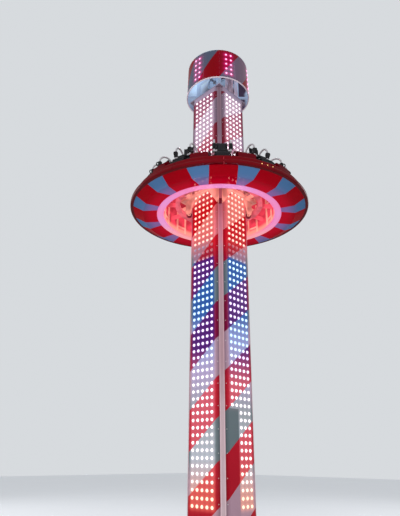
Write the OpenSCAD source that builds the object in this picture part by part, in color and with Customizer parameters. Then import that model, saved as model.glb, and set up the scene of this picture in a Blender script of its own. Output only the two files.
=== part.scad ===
// Drop tower ride: a square light-clad tower with a round gondola that climbs,
// drops and turns around it, twelve outward-facing seats and a drum-shaped crown.
// Origin on the floor at the tower's axis, +Z up, tower faces square to X and Y.

/* [Tower] */
// Width of the tower across two opposite faces
tower_w = 1000; // [900:10:1100]
// Width of the flat part of each face panel
face_w = 700; // [600:10:780]
// Thickness of the folded face panels
panel_t = 3; // [2:0.5:6]
// Height of the tower panels' top edge above the floor
tower_top = 9960; // [8000:20:12000]
// Width of the square corner tubes that the gondola runs on
leg_w = 95; // [70:5:110]
// Wall thickness of the corner tubes
leg_t = 6; // [4:1:10]
// How far the corner tubes stand proud of the folded panel corners
leg_proud = 16; // [8:1:24]
// Number of inner bracing levels
brace_levels = 6; // [3:1:8]
// Width of the inner bracing bars
brace_w = 50; // [30:5:70]

/* [Base] */
// Length of each crossed base beam from end to end
base_span = 3300; // [2800:50:3600]
// Width of the base beams
base_beam_w = 180; // [140:10:240]
// Height of the base beams
base_beam_h = 180; // [140:10:200]
// Side of the square foot plates
foot_w = 420; // [340:10:500]
// Thickness of the foot plates and of the tower's base plate
foot_t = 20; // [12:2:30]
// Distance between the anchor holes of a foot plate
anchor_pitch = 320; // [260:10:330]
// Diameter of the anchor holes
anchor_d = 26; // [18:1:32]

/* [Crown] */
// Outer radius of the crown drum
crown_r = 767; // [740:1:900]
// Height of the crown drum
crown_h = 920; // [700:10:1100]
// Gap between the tower's top and the crown's lower rim
crown_gap = 120; // [100:10:200]
// Wall thickness of the crown drum
crown_t = 5; // [3:1:8]
// How much wider the crown's radius is at its lower rim
crown_flare = 18; // [6:1:30]
// Radius of the rounded bead on the crown's lower rim
crown_bead_r = 15; // [8:1:18]
// Side of the square posts that carry the crown
head_post_w = 80; // [60:5:100]
// Radius of the hoist sheaves
sheave_r = 210; // [180:5:240]
// Width of the hoist sheaves
sheave_w = 44; // [36:2:60]
// Diameter of the hoist ropes
rope_d = 14; // [10:1:20]

/* [Carriage] */
// Width of the opening in the carriage's square frame
carriage_bore = 1120; // [1110:10:1200]
// Side of the carriage's square tubes
carriage_bar = 60; // [50:5:70]
// Height of the carriage frame
carriage_h = 400; // [340:10:500]
// How far the lower guide rollers hang below the carriage frame
roller_hang = 325; // [280:5:360]
// Radius of the guide rollers
roller_r = 60; // [45:1:62]
// Width of the guide rollers
roller_w = 64; // [50:2:80]
// Running gap between a guide roller and its rail
roller_gap = 0.3; // [0.2:0.1:1]

/* [Gondola] */
// Height of the ring light's lower face above the floor
gondola_z = 6690; // [5800:10:7400]
// Inner radius of the ring light
light_ri = 1260; // [1230:5:1300]
// Width of the ring light
light_w = 150; // [120:5:190]
// Height of the ring light's housing
light_h = 40; // [25:5:60]
// Width of the underside's inner band, from the ring light to the crease
crease_w = 306; // [250:2:360]
// How far the rim moulding reaches out beyond the seats' front edges
rim_w = 64; // [50:2:90]
// How far the underside rises from the crease to the rim moulding
skirt_rise = 119; // [60:1:160]
// Thickness of the moulded underside and rim
skirt_t = 8; // [5:1:12]
// Width of a grey patch at the ring light
patch_in_w = 172; // [120:4:260]
// Width of a grey patch at the rim
patch_out_w = 470; // [400:5:520]
// Height of the seat deck above the ring light's lower face
deck_h = 360; // [320:5:420]
// Width of the seat deck, from the well's wall to its front edge
deck_w = 590; // [560:5:620]
// Thickness of the seat deck
deck_t = 20; // [12:2:30]
// Height of the wall behind the seats above the deck
back_wall_h = 400; // [300:10:460]
// Thickness of the walls round the gondola's well
well_t = 20; // [10:2:30]

/* [Seats] */
// Space between the gondola's back wall and the seat frames
frame_gap = 10; // [5:5:60]
// Distance from the deck's edge back to the seats' front edges
seat_setback = 35; // [10:5:60]
// Height of the consoles above the deck
console_h = 400; // [300:10:440]
// Height of the seat cushion's top above the deck
seat_h = 135; // [110:5:180]
// Width of a seat
seat_w = 340; // [300:10:350]
// Height of the seat back's top above the deck
seat_back_h = 690; // [640:10:740]
// Width of the headrest between the restraint's arms
headrest_w = 260; // [200:10:270]
// Height of the restraint's pivot above the deck
pivot_h = 480; // [460:5:520]
// Radius of the restraint's curve over the shoulders
shoulder_r = 150; // [130:5:170]
// Spacing of the restraint's two arms
arm_pitch = 340; // [330:5:350]
// Diameter of the restraint's tube
arm_d = 38; // [30:1:42]
// Diameter of the restraint's foam pads
pad_d = 84; // [70:2:90]
// Height of the restraint's lap bar above the seat
thigh_gap = 165; // [140:5:200]

/* [Hidden] */
RESTRAINTS = [for (k = [1:12]) str("restraint_", k < 10 ? "0" : "", k)];

$fn = 64;
seats = 12;
pitch = 360 / seats;
seam_a = 0.1;
gap = 0.3;

half_w = tower_w / 2;
fold_r = (half_w + face_w / 2) / sqrt(2);
rail_r = fold_r + leg_proud;
leg_c = rail_r - leg_w / 2;
flange_l = ((half_w - face_w / 2) * sqrt(2) - leg_w) / 2;

base_beam_t = 8;
base_rim = 40;
base_top = foot_t + base_beam_h;
panel_z = base_top + foot_t;

crown_z = tower_top + crown_gap;
crown_top = crown_z + crown_h;
head_inset = 160;
head_c = half_w - head_inset;
head_beam_w = 60;
head_beam_h = 100;
head_post_t = 5;
sheave_drop = 400;
sheave_z = crown_top - sheave_drop;
sheave_y = 130;
shaft_r = 30;
top_frame_t = 30;
top_frame_w = 220;

deck_z = gondola_z + deck_h;
light_ro = light_ri + light_w;
light_top = gondola_z + light_h;
well_lip = 10;
well_r = light_ri + well_lip;
well_out = well_r + well_t;
well_ring_w = 60;
deck_ro = well_out + deck_w;
bar_t = 5;

carriage_i = carriage_bore / 2;
carriage_o = carriage_i + carriage_bar;

slew_margin = 23;
slew_race = 40;
slew_w = 100;
slew_h = 80;
slew_flange = 25;
slew_clear = 3;
slew_z = deck_z - deck_t - slew_h;
slew_ri = carriage_o * sqrt(2) + slew_margin;
slew_mid = slew_ri + slew_race;
slew_ro = slew_ri + slew_w;
carriage_z = slew_z + slew_h + slew_flange + 2 * gap;
roof_t = 4;
roof_play = 15;
beam_w = 60;
post_w = 30;
post_a = 6;

frame_bar = 40;
frame_t = 12;
frame_play = 4;
frame_r = well_out + frame_gap + frame_bar / 2;
frame_y = arm_pitch / 2 + arm_d / 2 + frame_play;
seat_back_r = frame_r + frame_bar / 2;
seat_back_t = 50;
seat_front_r = deck_ro - seat_setback;
bolster = 25;
bolster_w = 40;
pivot_r = 16;
pivot_gap = 0.1;
arm_x = 2 * shoulder_r;
front_l = pivot_h - seat_h - thigh_gap;

skirt_drop = 7;
crease_drop = 21;
crease_r = light_ro + crease_w;
skirt_ro = deck_ro + rim_w;
skirt_z = gondola_z + skirt_drop;
crease_z = skirt_z - crease_drop;
rim_z = crease_z + skirt_rise;

// Places children round the axis, one for each angle in the list
module around(angles) {
    for (a = angles) rotate([0, 0, a]) children();
}

seat_angles = [for (k = [0:seats - 1]) (k + 0.5) * pitch];
patch_angles = [for (k = [0:seats - 1]) k * pitch];
corner_angles = [45, 135, 225, 315];

// A sector of a ring, centred on +X, swept from a profile in the radial plane
module sector(a) {
    rotate([0, 0, -a / 2]) rotate_extrude(angle = a, $fn = 180) children();
}

module ring_profile(ri, ro, z0, z1) {
    translate([ri, z0]) square([ro - ri, z1 - z0]);
}

// A hollow square tube standing on the XY plane
module square_tube(w, t, h) {
    difference() {
        translate([-w / 2, -w / 2, 0]) cube([w, w, h]);
        translate([t - w / 2, t - w / 2, -1]) cube([w - 2 * t, w - 2 * t, h + 2]);
    }
}

module block(x0, x1, y0, y1, z0, z1) {
    translate([x0, y0, z0]) cube([x1 - x0, y1 - y0, z1 - z0]);
}

// A hollow rectangular bar along X with open ends
module tube_x(x0, x1, y0, y1, z0, z1, t) {
    difference() {
        block(x0, x1, y0, y1, z0, z1);
        block(x0 - 1, x1 + 1, y0 + t, y1 - t, z0 + t, z1 - t);
    }
}

// Base
module base_beam(len) {
    tube_x(0, len, -base_beam_w / 2, base_beam_w / 2, 0, base_beam_h, base_beam_t);
}

module base_beam_x() {
    color([0.20, 0.20, 0.22])
        translate([-base_span / 2, 0, foot_t]) base_beam(base_span);
}

module base_beam_y() {
    color([0.20, 0.20, 0.22])
        around([90, 270])
            translate([base_beam_w / 2, 0, foot_t])
                base_beam(base_span / 2 - base_beam_w / 2);
}

module foot_plates() {
    color([0.25, 0.25, 0.27])
        around([0, 90, 180, 270])
            translate([base_span / 2 - foot_w / 2, 0, 0])
                difference() {
                    block(-foot_w / 2, foot_w / 2, -foot_w / 2, foot_w / 2, 0, foot_t);
                    for (x = [-1, 1], y = [-1, 1])
                        translate([x * anchor_pitch / 2, y * anchor_pitch / 2, -1])
                            cylinder(d = anchor_d, h = foot_t + 2);
                }
}

module base_plate() {
    color([0.25, 0.25, 0.27])
        block(-half_w - base_rim, half_w + base_rim, -half_w - base_rim, half_w + base_rim,
              base_top, panel_z);
}

// Tower
module leg_place() {
    around(corner_angles) translate([leg_c, 0, 0]) children();
}

module corner_legs() {
    color([0.78, 0.76, 0.78])
        leg_place() translate([0, 0, panel_z]) square_tube(leg_w, leg_t, tower_top - panel_z);
}

// Folded sheet: a flat face with a 45 degree flange on each edge that meets the corner tube
module panel_profile() {
    mitre = panel_t * tan(22.5);
    f = face_w / 2;
    s = flange_l / sqrt(2);
    n = panel_t / sqrt(2);
    polygon([
        [-f, -half_w], [f, -half_w],
        [f + s, s - half_w], [f + s - n, s + n - half_w],
        [f - mitre, panel_t - half_w], [mitre - f, panel_t - half_w],
        [n - f - s, s + n - half_w], [-f - s, s - half_w]
    ]);
}

module panel() {
    color([0.85, 0.07, 0.14])
        translate([0, 0, panel_z])
            linear_extrude(tower_top - panel_z) panel_profile();
}

module panel_front() { panel(); }
module panel_right() { rotate([0, 0, 90]) panel(); }
module panel_back() { rotate([0, 0, 180]) panel(); }
module panel_left() { rotate([0, 0, 270]) panel(); }

module inner_bracing() {
    c = leg_c / sqrt(2);
    step = (tower_top - panel_z) / brace_levels;
    color([0.35, 0.35, 0.38])
        difference() {
            for (i = [0:brace_levels - 1]) around([0, 90, 180, 270])
                block(-c, c, -c - brace_w / 2, brace_w / 2 - c,
                      panel_z + (i + 0.5) * step, panel_z + (i + 0.5) * step + brace_w);
            leg_place() block(-leg_w / 2, leg_w / 2, -leg_w / 2, leg_w / 2, 0, tower_top);
        }
}

// Head of the tower
module top_frame() {
    color([0.72, 0.70, 0.72])
        difference() {
            block(-half_w, half_w, -half_w, half_w, tower_top, tower_top + top_frame_t);
            block(top_frame_w - half_w, half_w - top_frame_w, top_frame_w - half_w, half_w - top_frame_w,
                  tower_top - 1, tower_top + top_frame_t + 1);
        }
}

module head_posts() {
    z = tower_top + top_frame_t;
    color([0.33, 0.31, 0.33])
        for (x = [-1, 1], y = [-1, 1])
            translate([x * head_c, y * head_c, z])
                square_tube(head_post_w, head_post_t, crown_top - crown_t - gap - z);
}

module head_beams() {
    color([0.33, 0.31, 0.33])
        for (y = [-1, 1])
            difference() {
                block(-head_c + head_post_w / 2, head_c - head_post_w / 2,
                      y * head_c - head_beam_w / 2, y * head_c + head_beam_w / 2,
                      sheave_z - head_beam_h / 2, sheave_z + head_beam_h / 2);
                translate([0, y * head_c, sheave_z]) rotate([90, 0, 0])
                    cylinder(r = shaft_r, h = head_beam_w + 2, center = true);
            }
}

// Two rope sheaves on one shaft that is held by the head beams
module sheave_profile() {
    hub = 2 * shaft_r;
    web = 12;
    rim = 22;
    flange = 10;
    bore = shaft_r - gap - 0.2;
    translate([bore, -sheave_w / 2 - web / 2]) square([hub - bore, sheave_w + web]);
    translate([hub - 1, -web / 2]) square([sheave_r - rim - hub + 4, web]);
    difference() {
        translate([sheave_r - rim, -sheave_w / 2]) square([rim + flange, sheave_w]);
        translate([sheave_r + rope_d / 2, 0]) circle(d = rope_d + 1);
        translate([sheave_r + rope_d / 2, -rope_d / 2 - 0.5]) square([flange + rope_d, rope_d + 1]);
    }
}

module sheaves() {
    color([0.45, 0.45, 0.48])
        translate([0, 0, sheave_z]) rotate([90, 0, 0]) {
            cylinder(r = shaft_r - gap, h = 2 * head_c + head_beam_w, center = true);
            for (y = [-1, 1]) translate([0, 0, y * sheave_y])
                rotate_extrude() sheave_profile();
        }
}

module hoist_ropes() {
    x = sheave_r + rope_d / 2;
    color([0.75, 0.75, 0.78])
        for (y = [-1, 1]) {
            translate([0, y * sheave_y, sheave_z]) rotate([90, 0, 0])
                rotate_extrude(angle = 180) translate([x, 0]) circle(d = rope_d);
            for (s = [-1, 1]) translate([s * x, y * sheave_y, panel_z])
                cylinder(d = rope_d, h = sheave_z - panel_z);
        }
}

// Crown
function crown_at(z) = crown_r + crown_flare * (crown_top - z) / crown_h;

module crown_profile() {
    low = crown_z + crown_bead_r;
    high = crown_top - crown_t;
    polygon([[crown_at(low) - crown_t, low], [crown_at(low), low],
             [crown_at(high), high], [crown_at(high) - crown_t, high]]);
    translate([crown_at(low), low]) circle(r = crown_bead_r);
}

module crown_drum() {
    color([0.80, 0.10, 0.16])
        around(patch_angles) sector(pitch - 2 * seam_a) crown_profile();
}

module crown_cap() {
    color([0.60, 0.62, 0.65])
        translate([0, 0, crown_top - crown_t]) cylinder(r = crown_r, h = crown_t);
}

module crown_brackets() {
    bar = 50;
    bar_h = 40;
    low = crown_z + 60;
    high = crown_top - 140;
    inner = (head_c + head_post_w / 2) * sqrt(2);
    color([0.33, 0.31, 0.33])
        for (z = [low, high])
            difference() {
                around(corner_angles)
                    block(inner - bar, crown_at(z + bar_h) - crown_t - 0.7,
                          -bar / 2, bar / 2, z, z + bar_h);
                for (x = [-1, 1], y = [-1, 1])
                    translate([x * head_c, y * head_c, 0])
                        block(-head_post_w / 2, head_post_w / 2,
                              -head_post_w / 2, head_post_w / 2, 0, crown_top);
            }
}

// Carriage
carriage_levels = [carriage_z, carriage_z + carriage_h - carriage_bar];

module carriage_side_beams() {
    color([0.85, 0.80, 0.76])
        for (z = carriage_levels, s = [0, 180]) rotate([0, 0, s])
            tube_x(-carriage_o, carriage_o, carriage_i, carriage_o, z, z + carriage_bar, bar_t);
}

module carriage_cross_beams() {
    color([0.85, 0.80, 0.76])
        for (z = carriage_levels, s = [90, 270]) rotate([0, 0, s])
            tube_x(-carriage_i, carriage_i, carriage_i, carriage_o, z, z + carriage_bar, bar_t);
}

module carriage_posts() {
    color([0.85, 0.80, 0.76])
        for (x = [-1, 1], y = [-1, 1]) {
            c = carriage_i + carriage_bar / 2;
            translate([x * c, y * c, carriage_z + carriage_bar])
                square_tube(carriage_bar, bar_t, carriage_h - 2 * carriage_bar);
        }
}

module carriage_arms() {
    y = carriage_o / 2;
    color([0.85, 0.80, 0.76])
        around([0, 90, 180, 270])
            for (s = [-1, 1])
                tube_x(carriage_o, slew_mid, s * y - carriage_bar / 2, s * y + carriage_bar / 2,
                       carriage_z, carriage_z + carriage_bar, bar_t);
}

// Four flat plates on the frame's top that close the well round the tower
module carriage_roof() {
    z = carriage_z + carriage_h + gap;
    color([0.85, 0.80, 0.76])
        around([0, 90, 180, 270])
            difference() {
                sector(90 - 2 * seam_a)
                    ring_profile(carriage_i / 2, slew_ri - roof_play, z, z + roof_t);
                block(0, carriage_i, -carriage_o, carriage_o, z - 1, z + roof_t + 1);
            }
}

module slew_ring_inner() {
    color([0.55, 0.53, 0.55])
        around([for (k = [0:7]) k * 45])
            sector(45 - 2 * seam_a) {
                ring_profile(slew_ri, slew_mid, slew_z + gap, slew_z + slew_h + gap);
                ring_profile(slew_ri, slew_ro, slew_z + slew_h + gap, carriage_z - gap);
            }
}

roller_c = rail_r + roller_gap + roller_r;
roller_levels = [carriage_z - roller_hang, carriage_z + carriage_h - carriage_bar / 2];
axle_r = 15;
cheek_t = 12;
cheek_h = 60;
cheek_y = roller_w / 2 + 5;
gusset_t = 8;
gusset_reach = 340;
gusset_back = 24;

// Wedge-shaped plate that spreads from a lower roller's cheek up to the frame
module roller_gusset() {
    tip = [roller_c, cheek_y + cheek_t - 1];
    end = [carriage_i * sqrt(2) - gusset_reach / sqrt(2), gusset_reach / sqrt(2)];
    run = norm(end - tip) + 20;
    low = roller_levels[0] - cheek_h / 2;
    high = carriage_z + carriage_bar;
    translate([tip[0], tip[1], 0]) rotate([0, 0, atan2(end[1] - tip[1], end[0] - tip[0])])
        rotate([90, 0, 0]) linear_extrude(gusset_t, center = true)
            polygon([[gusset_back, low], [run, carriage_z], [run, high], [0, high], [0, low + 2 * cheek_h]]);
}

// Side plate of a roller bracket, which widens from the axle up to the frame
module roller_cheek(z) {
    a = cheek_h / 2;
    far = carriage_o * sqrt(2);
    hangs = z < carriage_z;
    top = hangs ? carriage_z + carriage_bar - z : a;
    foot = hangs ? top - carriage_bar : -a;
    translate([roller_c, 0, z]) rotate([90, 0, 0])
        difference() {
            linear_extrude(cheek_t, center = true)
                polygon([[-a, -a], [a, -a], [far - roller_c, foot], [far - roller_c, top], [-a, top]]);
            cylinder(r = axle_r + gap, h = cheek_t + 2, center = true);
        }
}

// Brackets that carry a guide roller at each corner: on the frame's top bars, and hanging below it
module roller_brackets() {
    color([0.85, 0.80, 0.76])
        intersection() {
            around(corner_angles) {
                for (z = roller_levels, s = [-1, 1])
                    translate([0, s * (cheek_y + cheek_t / 2), 0]) roller_cheek(z);
                for (m = [0, 1]) mirror([0, m, 0]) roller_gusset();
            }
            block(-carriage_i, carriage_i, -carriage_i, carriage_i, 0, tower_top);
        }
}

module guide_rollers() {
    color([0.15, 0.15, 0.16])
        around(corner_angles)
            for (z = roller_levels) translate([roller_c, 0, z]) rotate([90, 0, 0]) {
                cylinder(r = roller_r, h = roller_w, center = true);
                cylinder(r = axle_r, h = 2 * (cheek_y + cheek_t) + 6, center = true);
            }
}

// Gondola structure
module slew_ring_outer() {
    color([0.55, 0.53, 0.55])
        around(patch_angles)
            sector(pitch - 2 * seam_a)
                ring_profile(slew_mid + slew_clear, slew_ro, slew_z, slew_z + slew_h);
}

module radial_beams() {
    color([0.80, 0.30, 0.30])
        around(seat_angles)
            tube_x(slew_ro + gap, deck_ro, -beam_w / 2, beam_w / 2,
                   slew_z, slew_z + slew_h - gap, bar_t);
}

module ring_light() {
    color([0.98, 0.86, 0.97])
        around(patch_angles)
            sector(pitch - 2 * seam_a)
                ring_profile(light_ri, light_ro, gondola_z, light_top);
}

module well_ring() {
    color([0.80, 0.30, 0.30])
        around(patch_angles)
            sector(pitch - 2 * seam_a)
                ring_profile(well_out + gap, well_out + well_ring_w, light_top, light_top + well_ring_w);
}

// Wall round the well with windows for the radial beams, and the flat lid that stands on it
module well_walls() {
    top = deck_z + back_wall_h;
    color([0.82, 0.12, 0.18])
        around(seat_angles) {
            difference() {
                sector(pitch - 2 * seam_a) ring_profile(well_r, well_out, light_top, top);
                block(well_r - well_t, well_out + well_t, -beam_w / 2 - gap, beam_w / 2 + gap,
                      slew_z - gap, slew_z + slew_h);
            }
            sector(pitch - 2 * seam_a) ring_profile(slew_ri, well_out, top + gap, top + well_t);
        }
}

// Upright posts with two rails between them, inside the well's wall
module well_frames() {
    r0 = well_r - gap - post_w;
    low = light_top + gap;
    high = deck_z + back_wall_h;
    color([0.85, 0.80, 0.76])
        around(patch_angles) {
            for (a = [-post_a, post_a]) rotate([0, 0, a])
                block(r0, r0 + post_w - 0.2, -post_w / 2, post_w / 2, low, high);
            for (z = [low + deck_h / 3, high - deck_h / 2])
                sector(2 * post_a) ring_profile(r0 + 4, r0 + post_w - 4, z, z + post_w);
        }
}

// Moulded underside: a flat inner band, a crease and a rising outer band
module skirt_profile() {
    inner = light_ro + 2;
    polygon([
        [inner, skirt_z], [crease_r, crease_z], [skirt_ro, rim_z],
        [skirt_ro, rim_z + skirt_t], [crease_r, crease_z + skirt_t], [inner, skirt_z + skirt_t]
    ]);
}

// Plan outline of a grey patch, wide at the rim
module patch_prism(margin) {
    translate([0, 0, gondola_z - 100])
        linear_extrude(400)
            polygon([
                [light_ro - 20, -patch_in_w / 2 - margin], [skirt_ro + 20, -patch_out_w / 2 - margin],
                [skirt_ro + 20, patch_out_w / 2 + margin], [light_ro - 20, patch_in_w / 2 + margin]
            ]);
}

module skirt_grey() {
    color([0.38, 0.52, 0.66])
        around(patch_angles)
            intersection() {
                sector(pitch - 8) skirt_profile();
                patch_prism(0);
            }
}

module skirt_red() {
    color([0.84, 0.05, 0.12])
        around(seat_angles)
            difference() {
                sector(pitch) skirt_profile();
                around([-pitch / 2, pitch / 2]) patch_prism(0.5);
            }
}

// Upright webs that hang from the radial beams and carry the ring light and the moulded underside
module skirt_ribs() {
    rib_t = 10;
    t = skirt_t + gap;
    foot = well_out + well_ring_w + gap;
    step = light_ro + gap;
    end_z = crease_z + skirt_rise * (deck_ro - crease_r) / (skirt_ro - crease_r);
    color([0.80, 0.30, 0.30])
        around(seat_angles)
            rotate([90, 0, 0]) linear_extrude(rib_t, center = true)
                polygon([
                    [foot, light_top + gap], [step, light_top + gap], [step, skirt_z + t],
                    [crease_r, crease_z + t], [deck_ro, end_z + t],
                    [deck_ro, slew_z - gap], [foot, slew_z - gap]
                ]);
}

// Rounded red moulding round the gondola's edge, in two steps
function arc(cx, cz, r, a0, a1, n = 6) =
    [for (i = [0:n]) let (a = a0 + (a1 - a0) * i / n) [cx + r * cos(a), cz + r * sin(a)]];

rim_bulge = 41;
rim_step = 94;
rim_ledge = 55;
rim_x = skirt_ro + rim_bulge;
rim_step_z = rim_z + rim_step;
rim_back_r = rim_x - rim_ledge;
rim_top_z = deck_z - 25;
rim_low_r = 30;
rim_top_r = 24;

// The moulding's face, inset by the wall's thickness for its inner side
function rim_face(inset, x0, x1) = concat(
    [[x0, rim_z + inset]],
    arc(rim_x, rim_z + rim_low_r, rim_low_r - inset, -90, 0),
    arc(rim_x, rim_step_z - rim_low_r, rim_low_r - inset, 0, 90),
    [[rim_back_r - inset, rim_step_z - inset]],
    arc(rim_back_r - rim_top_r, rim_top_z - rim_top_r, rim_top_r - inset, 0, 90),
    [[x1, rim_top_z - inset]]
);

function reversed(v) = [for (i = [len(v) - 1:-1:0]) v[i]];

module rim_moulding() {
    x0 = skirt_ro + gap;
    x1 = deck_ro + gap;
    color([0.70, 0.03, 0.08])
        around(patch_angles)
            sector(pitch - 2 * seam_a)
                polygon(concat(rim_face(0, x0, x1), reversed(rim_face(skirt_t, x0, x1))));
}

module seat_deck() {
    color([0.70, 0.04, 0.10])
        around(patch_angles)
            sector(pitch - 2 * seam_a)
                ring_profile(well_out + gap, deck_ro - gap, deck_z - deck_t, deck_z);
}

// Consoles between the seats: a tall block against the back wall that steps down towards the rim
console_ri = well_out + gap;
console_crest_r = console_ri + 210;
console_front_r = deck_ro - 26;
console_kick = 122;
console_step = 70;
console_shelf = 60;
console_bevel = 90;
console_clear = 6;
console_a = pitch - 2 * atan2(frame_y + frame_t + console_clear, frame_r - frame_bar / 2);

module console_outline(inset) {
    top = console_h - inset;
    front = console_front_r - inset;
    crest = console_crest_r - inset;
    polygon([
        [console_ri + inset, -inset], [front, -inset], [front, console_kick - inset],
        [front - console_step, console_kick + console_step - inset],
        [front - console_step - console_shelf, console_kick + console_step + 10 - inset],
        [crest + console_shelf, top - console_bevel], [crest, top], [console_ri + inset, top]
    ]);
}

module consoles() {
    wall = 6;
    color([0.80, 0.04, 0.10])
        around(patch_angles)
            translate([0, 0, deck_z])
                difference() {
                    sector(console_a) console_outline(0);
                    translate([0, 0, -1]) sector(console_a - 0.6) console_outline(wall);
                }
}

// Two uprights and two cross bars behind each seat; the uprights hold the restraint's pivot
module seat_frames() {
    y = frame_y;
    eye = 30;
    color([0.30, 0.30, 0.32])
        around(seat_angles)
            translate([frame_r, 0, deck_z]) {
                for (s = [-1, 1])
                    difference() {
                        translate([0, s * (y + frame_t / 2), 0]) {
                            block(-frame_bar / 2, frame_bar / 2, -frame_t / 2, frame_t / 2, 0, pivot_h);
                            translate([0, 0, pivot_h]) rotate([90, 0, 0])
                                cylinder(r = eye, h = frame_t, center = true);
                        }
                        translate([0, s * (y + frame_t / 2), pivot_h]) rotate([90, 0, 0])
                            cylinder(r = pivot_r + pivot_gap, h = frame_t + 2, center = true);
                    }
                for (z = [seat_h - frame_bar / 2, pivot_h - 3 * frame_bar])
                    block(-frame_bar / 2, frame_bar / 2 - gap, -y, y, z, z + frame_bar);
            }
}

// Moulded back: a slim panel with a narrower headrest and a raised bolster down each side
module seat_backs() {
    w = seat_w / 2;
    h = headrest_w / 2;
    neck = pivot_h - 40;
    shoulder = pivot_h - 90;
    corner = 40;
    color([0.10, 0.10, 0.11])
        around(seat_angles)
            translate([seat_back_r, 0, deck_z]) {
                rotate([90, 0, 90]) linear_extrude(seat_back_t)
                    polygon([[-w, seat_h], [w, seat_h], [w, shoulder], [h, neck],
                             [h, seat_back_h - corner], [h - corner, seat_back_h],
                             [corner - h, seat_back_h], [-h, seat_back_h - corner],
                             [-h, neck], [-w, shoulder]]);
                for (m = [0, 1]) mirror([0, m, 0])
                    translate([0, 0, seat_h + bolster + gap])
                        linear_extrude(shoulder - seat_h - bolster - corner)
                            polygon([[1, w], [seat_back_t + bolster, w],
                                     [seat_back_t + bolster, w - bolster_w / 2],
                                     [seat_back_t, w - bolster_w], [1, w - bolster_w]]);
            }
}

// Moulded pan: a side profile with a rounded front, and a raised bolster along each side
function pan_profile(rise) = concat(
    [[seat_back_r, 0], [seat_front_r - 40, 0], [seat_front_r, 60]],
    arc(seat_front_r - 30, seat_h + rise - 30, 30, 0, 90),
    [[seat_back_r + 120, seat_h + rise - 20], [seat_back_r, seat_h + rise - 10]]
);

module seat_pans() {
    w = seat_w / 2;
    color([0.10, 0.10, 0.11])
        around(seat_angles)
            translate([0, 0, deck_z]) rotate([90, 0, 0]) {
                linear_extrude(seat_w, center = true) pan_section(0);
                for (s = [-1, 1]) translate([0, 0, s * (w - bolster_w / 2)])
                    linear_extrude(bolster_w, center = true) pan_section(bolster);
            }
}

// The pan's section, cut back where the seat back stands on it
module pan_section(rise) {
    difference() {
        polygon(pan_profile(rise));
        translate([seat_back_r - 1, seat_h - gap - (rise > 0 ? 0 : 10)])
            square([seat_back_t + bolster + 1, rise + 20]);
    }
}

// Over-shoulder restraint: a pivot shaft, two bent arms, pads, a lap bar and hand grips
module restraint(k) {
    pad_end = 30;
    grip_r = 48;
    grip_d = 22;
    color([0.12, 0.12, 0.13])
        rotate([0, 0, seat_angles[k - 1]]) translate([frame_r, 0, deck_z + pivot_h]) {
            rotate([90, 0, 0]) cylinder(r = pivot_r, h = 2 * frame_y + 2 * frame_t, center = true);
            for (s = [-1, 1]) translate([0, s * arm_pitch / 2, 0]) {
                translate([shoulder_r, 0, 0]) rotate([90, 0, 0])
                    rotate_extrude(angle = 180) translate([shoulder_r, 0]) circle(d = arm_d);
                translate([arm_x, 0, -front_l]) cylinder(d = arm_d, h = front_l);
                translate([arm_x, 0, pad_end - front_l]) cylinder(d = pad_d, h = front_l - pad_end);
                translate([arm_x + pad_d / 2 - grip_d / 2, 0, -front_l / 2]) rotate([90, 0, 0])
                    rotate([0, 0, -90]) rotate_extrude(angle = 180)
                        translate([grip_r, 0]) circle(d = grip_d, $fn = 24);
            }
            translate([arm_x, 0, -front_l]) rotate([90, 0, 0])
                cylinder(d = arm_d, h = arm_pitch + arm_d, center = true);
            translate([arm_x, 0, -front_l]) rotate([90, 0, 0])
                cylinder(d = pad_d - 14, h = arm_pitch - pad_d - 36, center = true);
        }
}

base_beam_x();
base_beam_y();
foot_plates();
base_plate();
corner_legs();
panel_front();
panel_right();
panel_back();
panel_left();
inner_bracing();
top_frame();
head_posts();
head_beams();
sheaves();
hoist_ropes();
crown_drum();
crown_cap();
crown_brackets();
carriage_side_beams();
carriage_cross_beams();
carriage_posts();
carriage_arms();
carriage_roof();
roller_brackets();
guide_rollers();
slew_ring_inner();
slew_ring_outer();
radial_beams();
ring_light();
well_ring();
well_walls();
well_frames();
skirt_red();
skirt_grey();
skirt_ribs();
rim_moulding();
seat_deck();
consoles();
seat_frames();
seat_backs();
seat_pans();
for (k = [1:12]) restraint(k);
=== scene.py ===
# %% [markdown]
# # A drop tower ride, dressed for the camera
# The solids of this ride come packed from its CAD source, one named node for each sub-part. This notebook
# gives every surface its finish and adds what is too small or too soft for CAD: lights, cushions, foam,
# bolts and seams.

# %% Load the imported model
import math

import bmesh
import bpy
from mathutils import Matrix, Vector


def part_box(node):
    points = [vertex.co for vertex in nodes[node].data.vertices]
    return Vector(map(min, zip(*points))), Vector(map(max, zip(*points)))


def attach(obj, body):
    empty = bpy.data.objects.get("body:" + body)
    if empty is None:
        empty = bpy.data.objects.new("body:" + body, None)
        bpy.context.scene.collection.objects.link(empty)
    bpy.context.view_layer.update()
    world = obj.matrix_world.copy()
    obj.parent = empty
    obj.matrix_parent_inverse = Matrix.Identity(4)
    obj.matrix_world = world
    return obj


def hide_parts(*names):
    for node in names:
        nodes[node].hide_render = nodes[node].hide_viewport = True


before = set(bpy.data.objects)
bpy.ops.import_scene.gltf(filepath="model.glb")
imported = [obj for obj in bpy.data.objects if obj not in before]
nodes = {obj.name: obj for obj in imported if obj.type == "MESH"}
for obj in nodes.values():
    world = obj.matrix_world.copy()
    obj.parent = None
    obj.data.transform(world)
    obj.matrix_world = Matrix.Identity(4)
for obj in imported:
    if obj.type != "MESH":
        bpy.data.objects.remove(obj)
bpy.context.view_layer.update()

# %% [markdown]
# ## Camera
# The ride is seen from the floor, near the corner between two faces, looking up. A camera is a matrix of
# three axes and a place. Building those axes from a heading, a rise and a small roll keeps each number
# meaningful.

# %% Camera
EYE = Vector((6.384, -7.110, 1.6))
HEADING = math.radians(44.46)    # from +Y round towards -X
RISE = math.radians(23.107)      # upwards from level
ROLL = math.radians(-0.476)
LENS = 32.9

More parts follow.
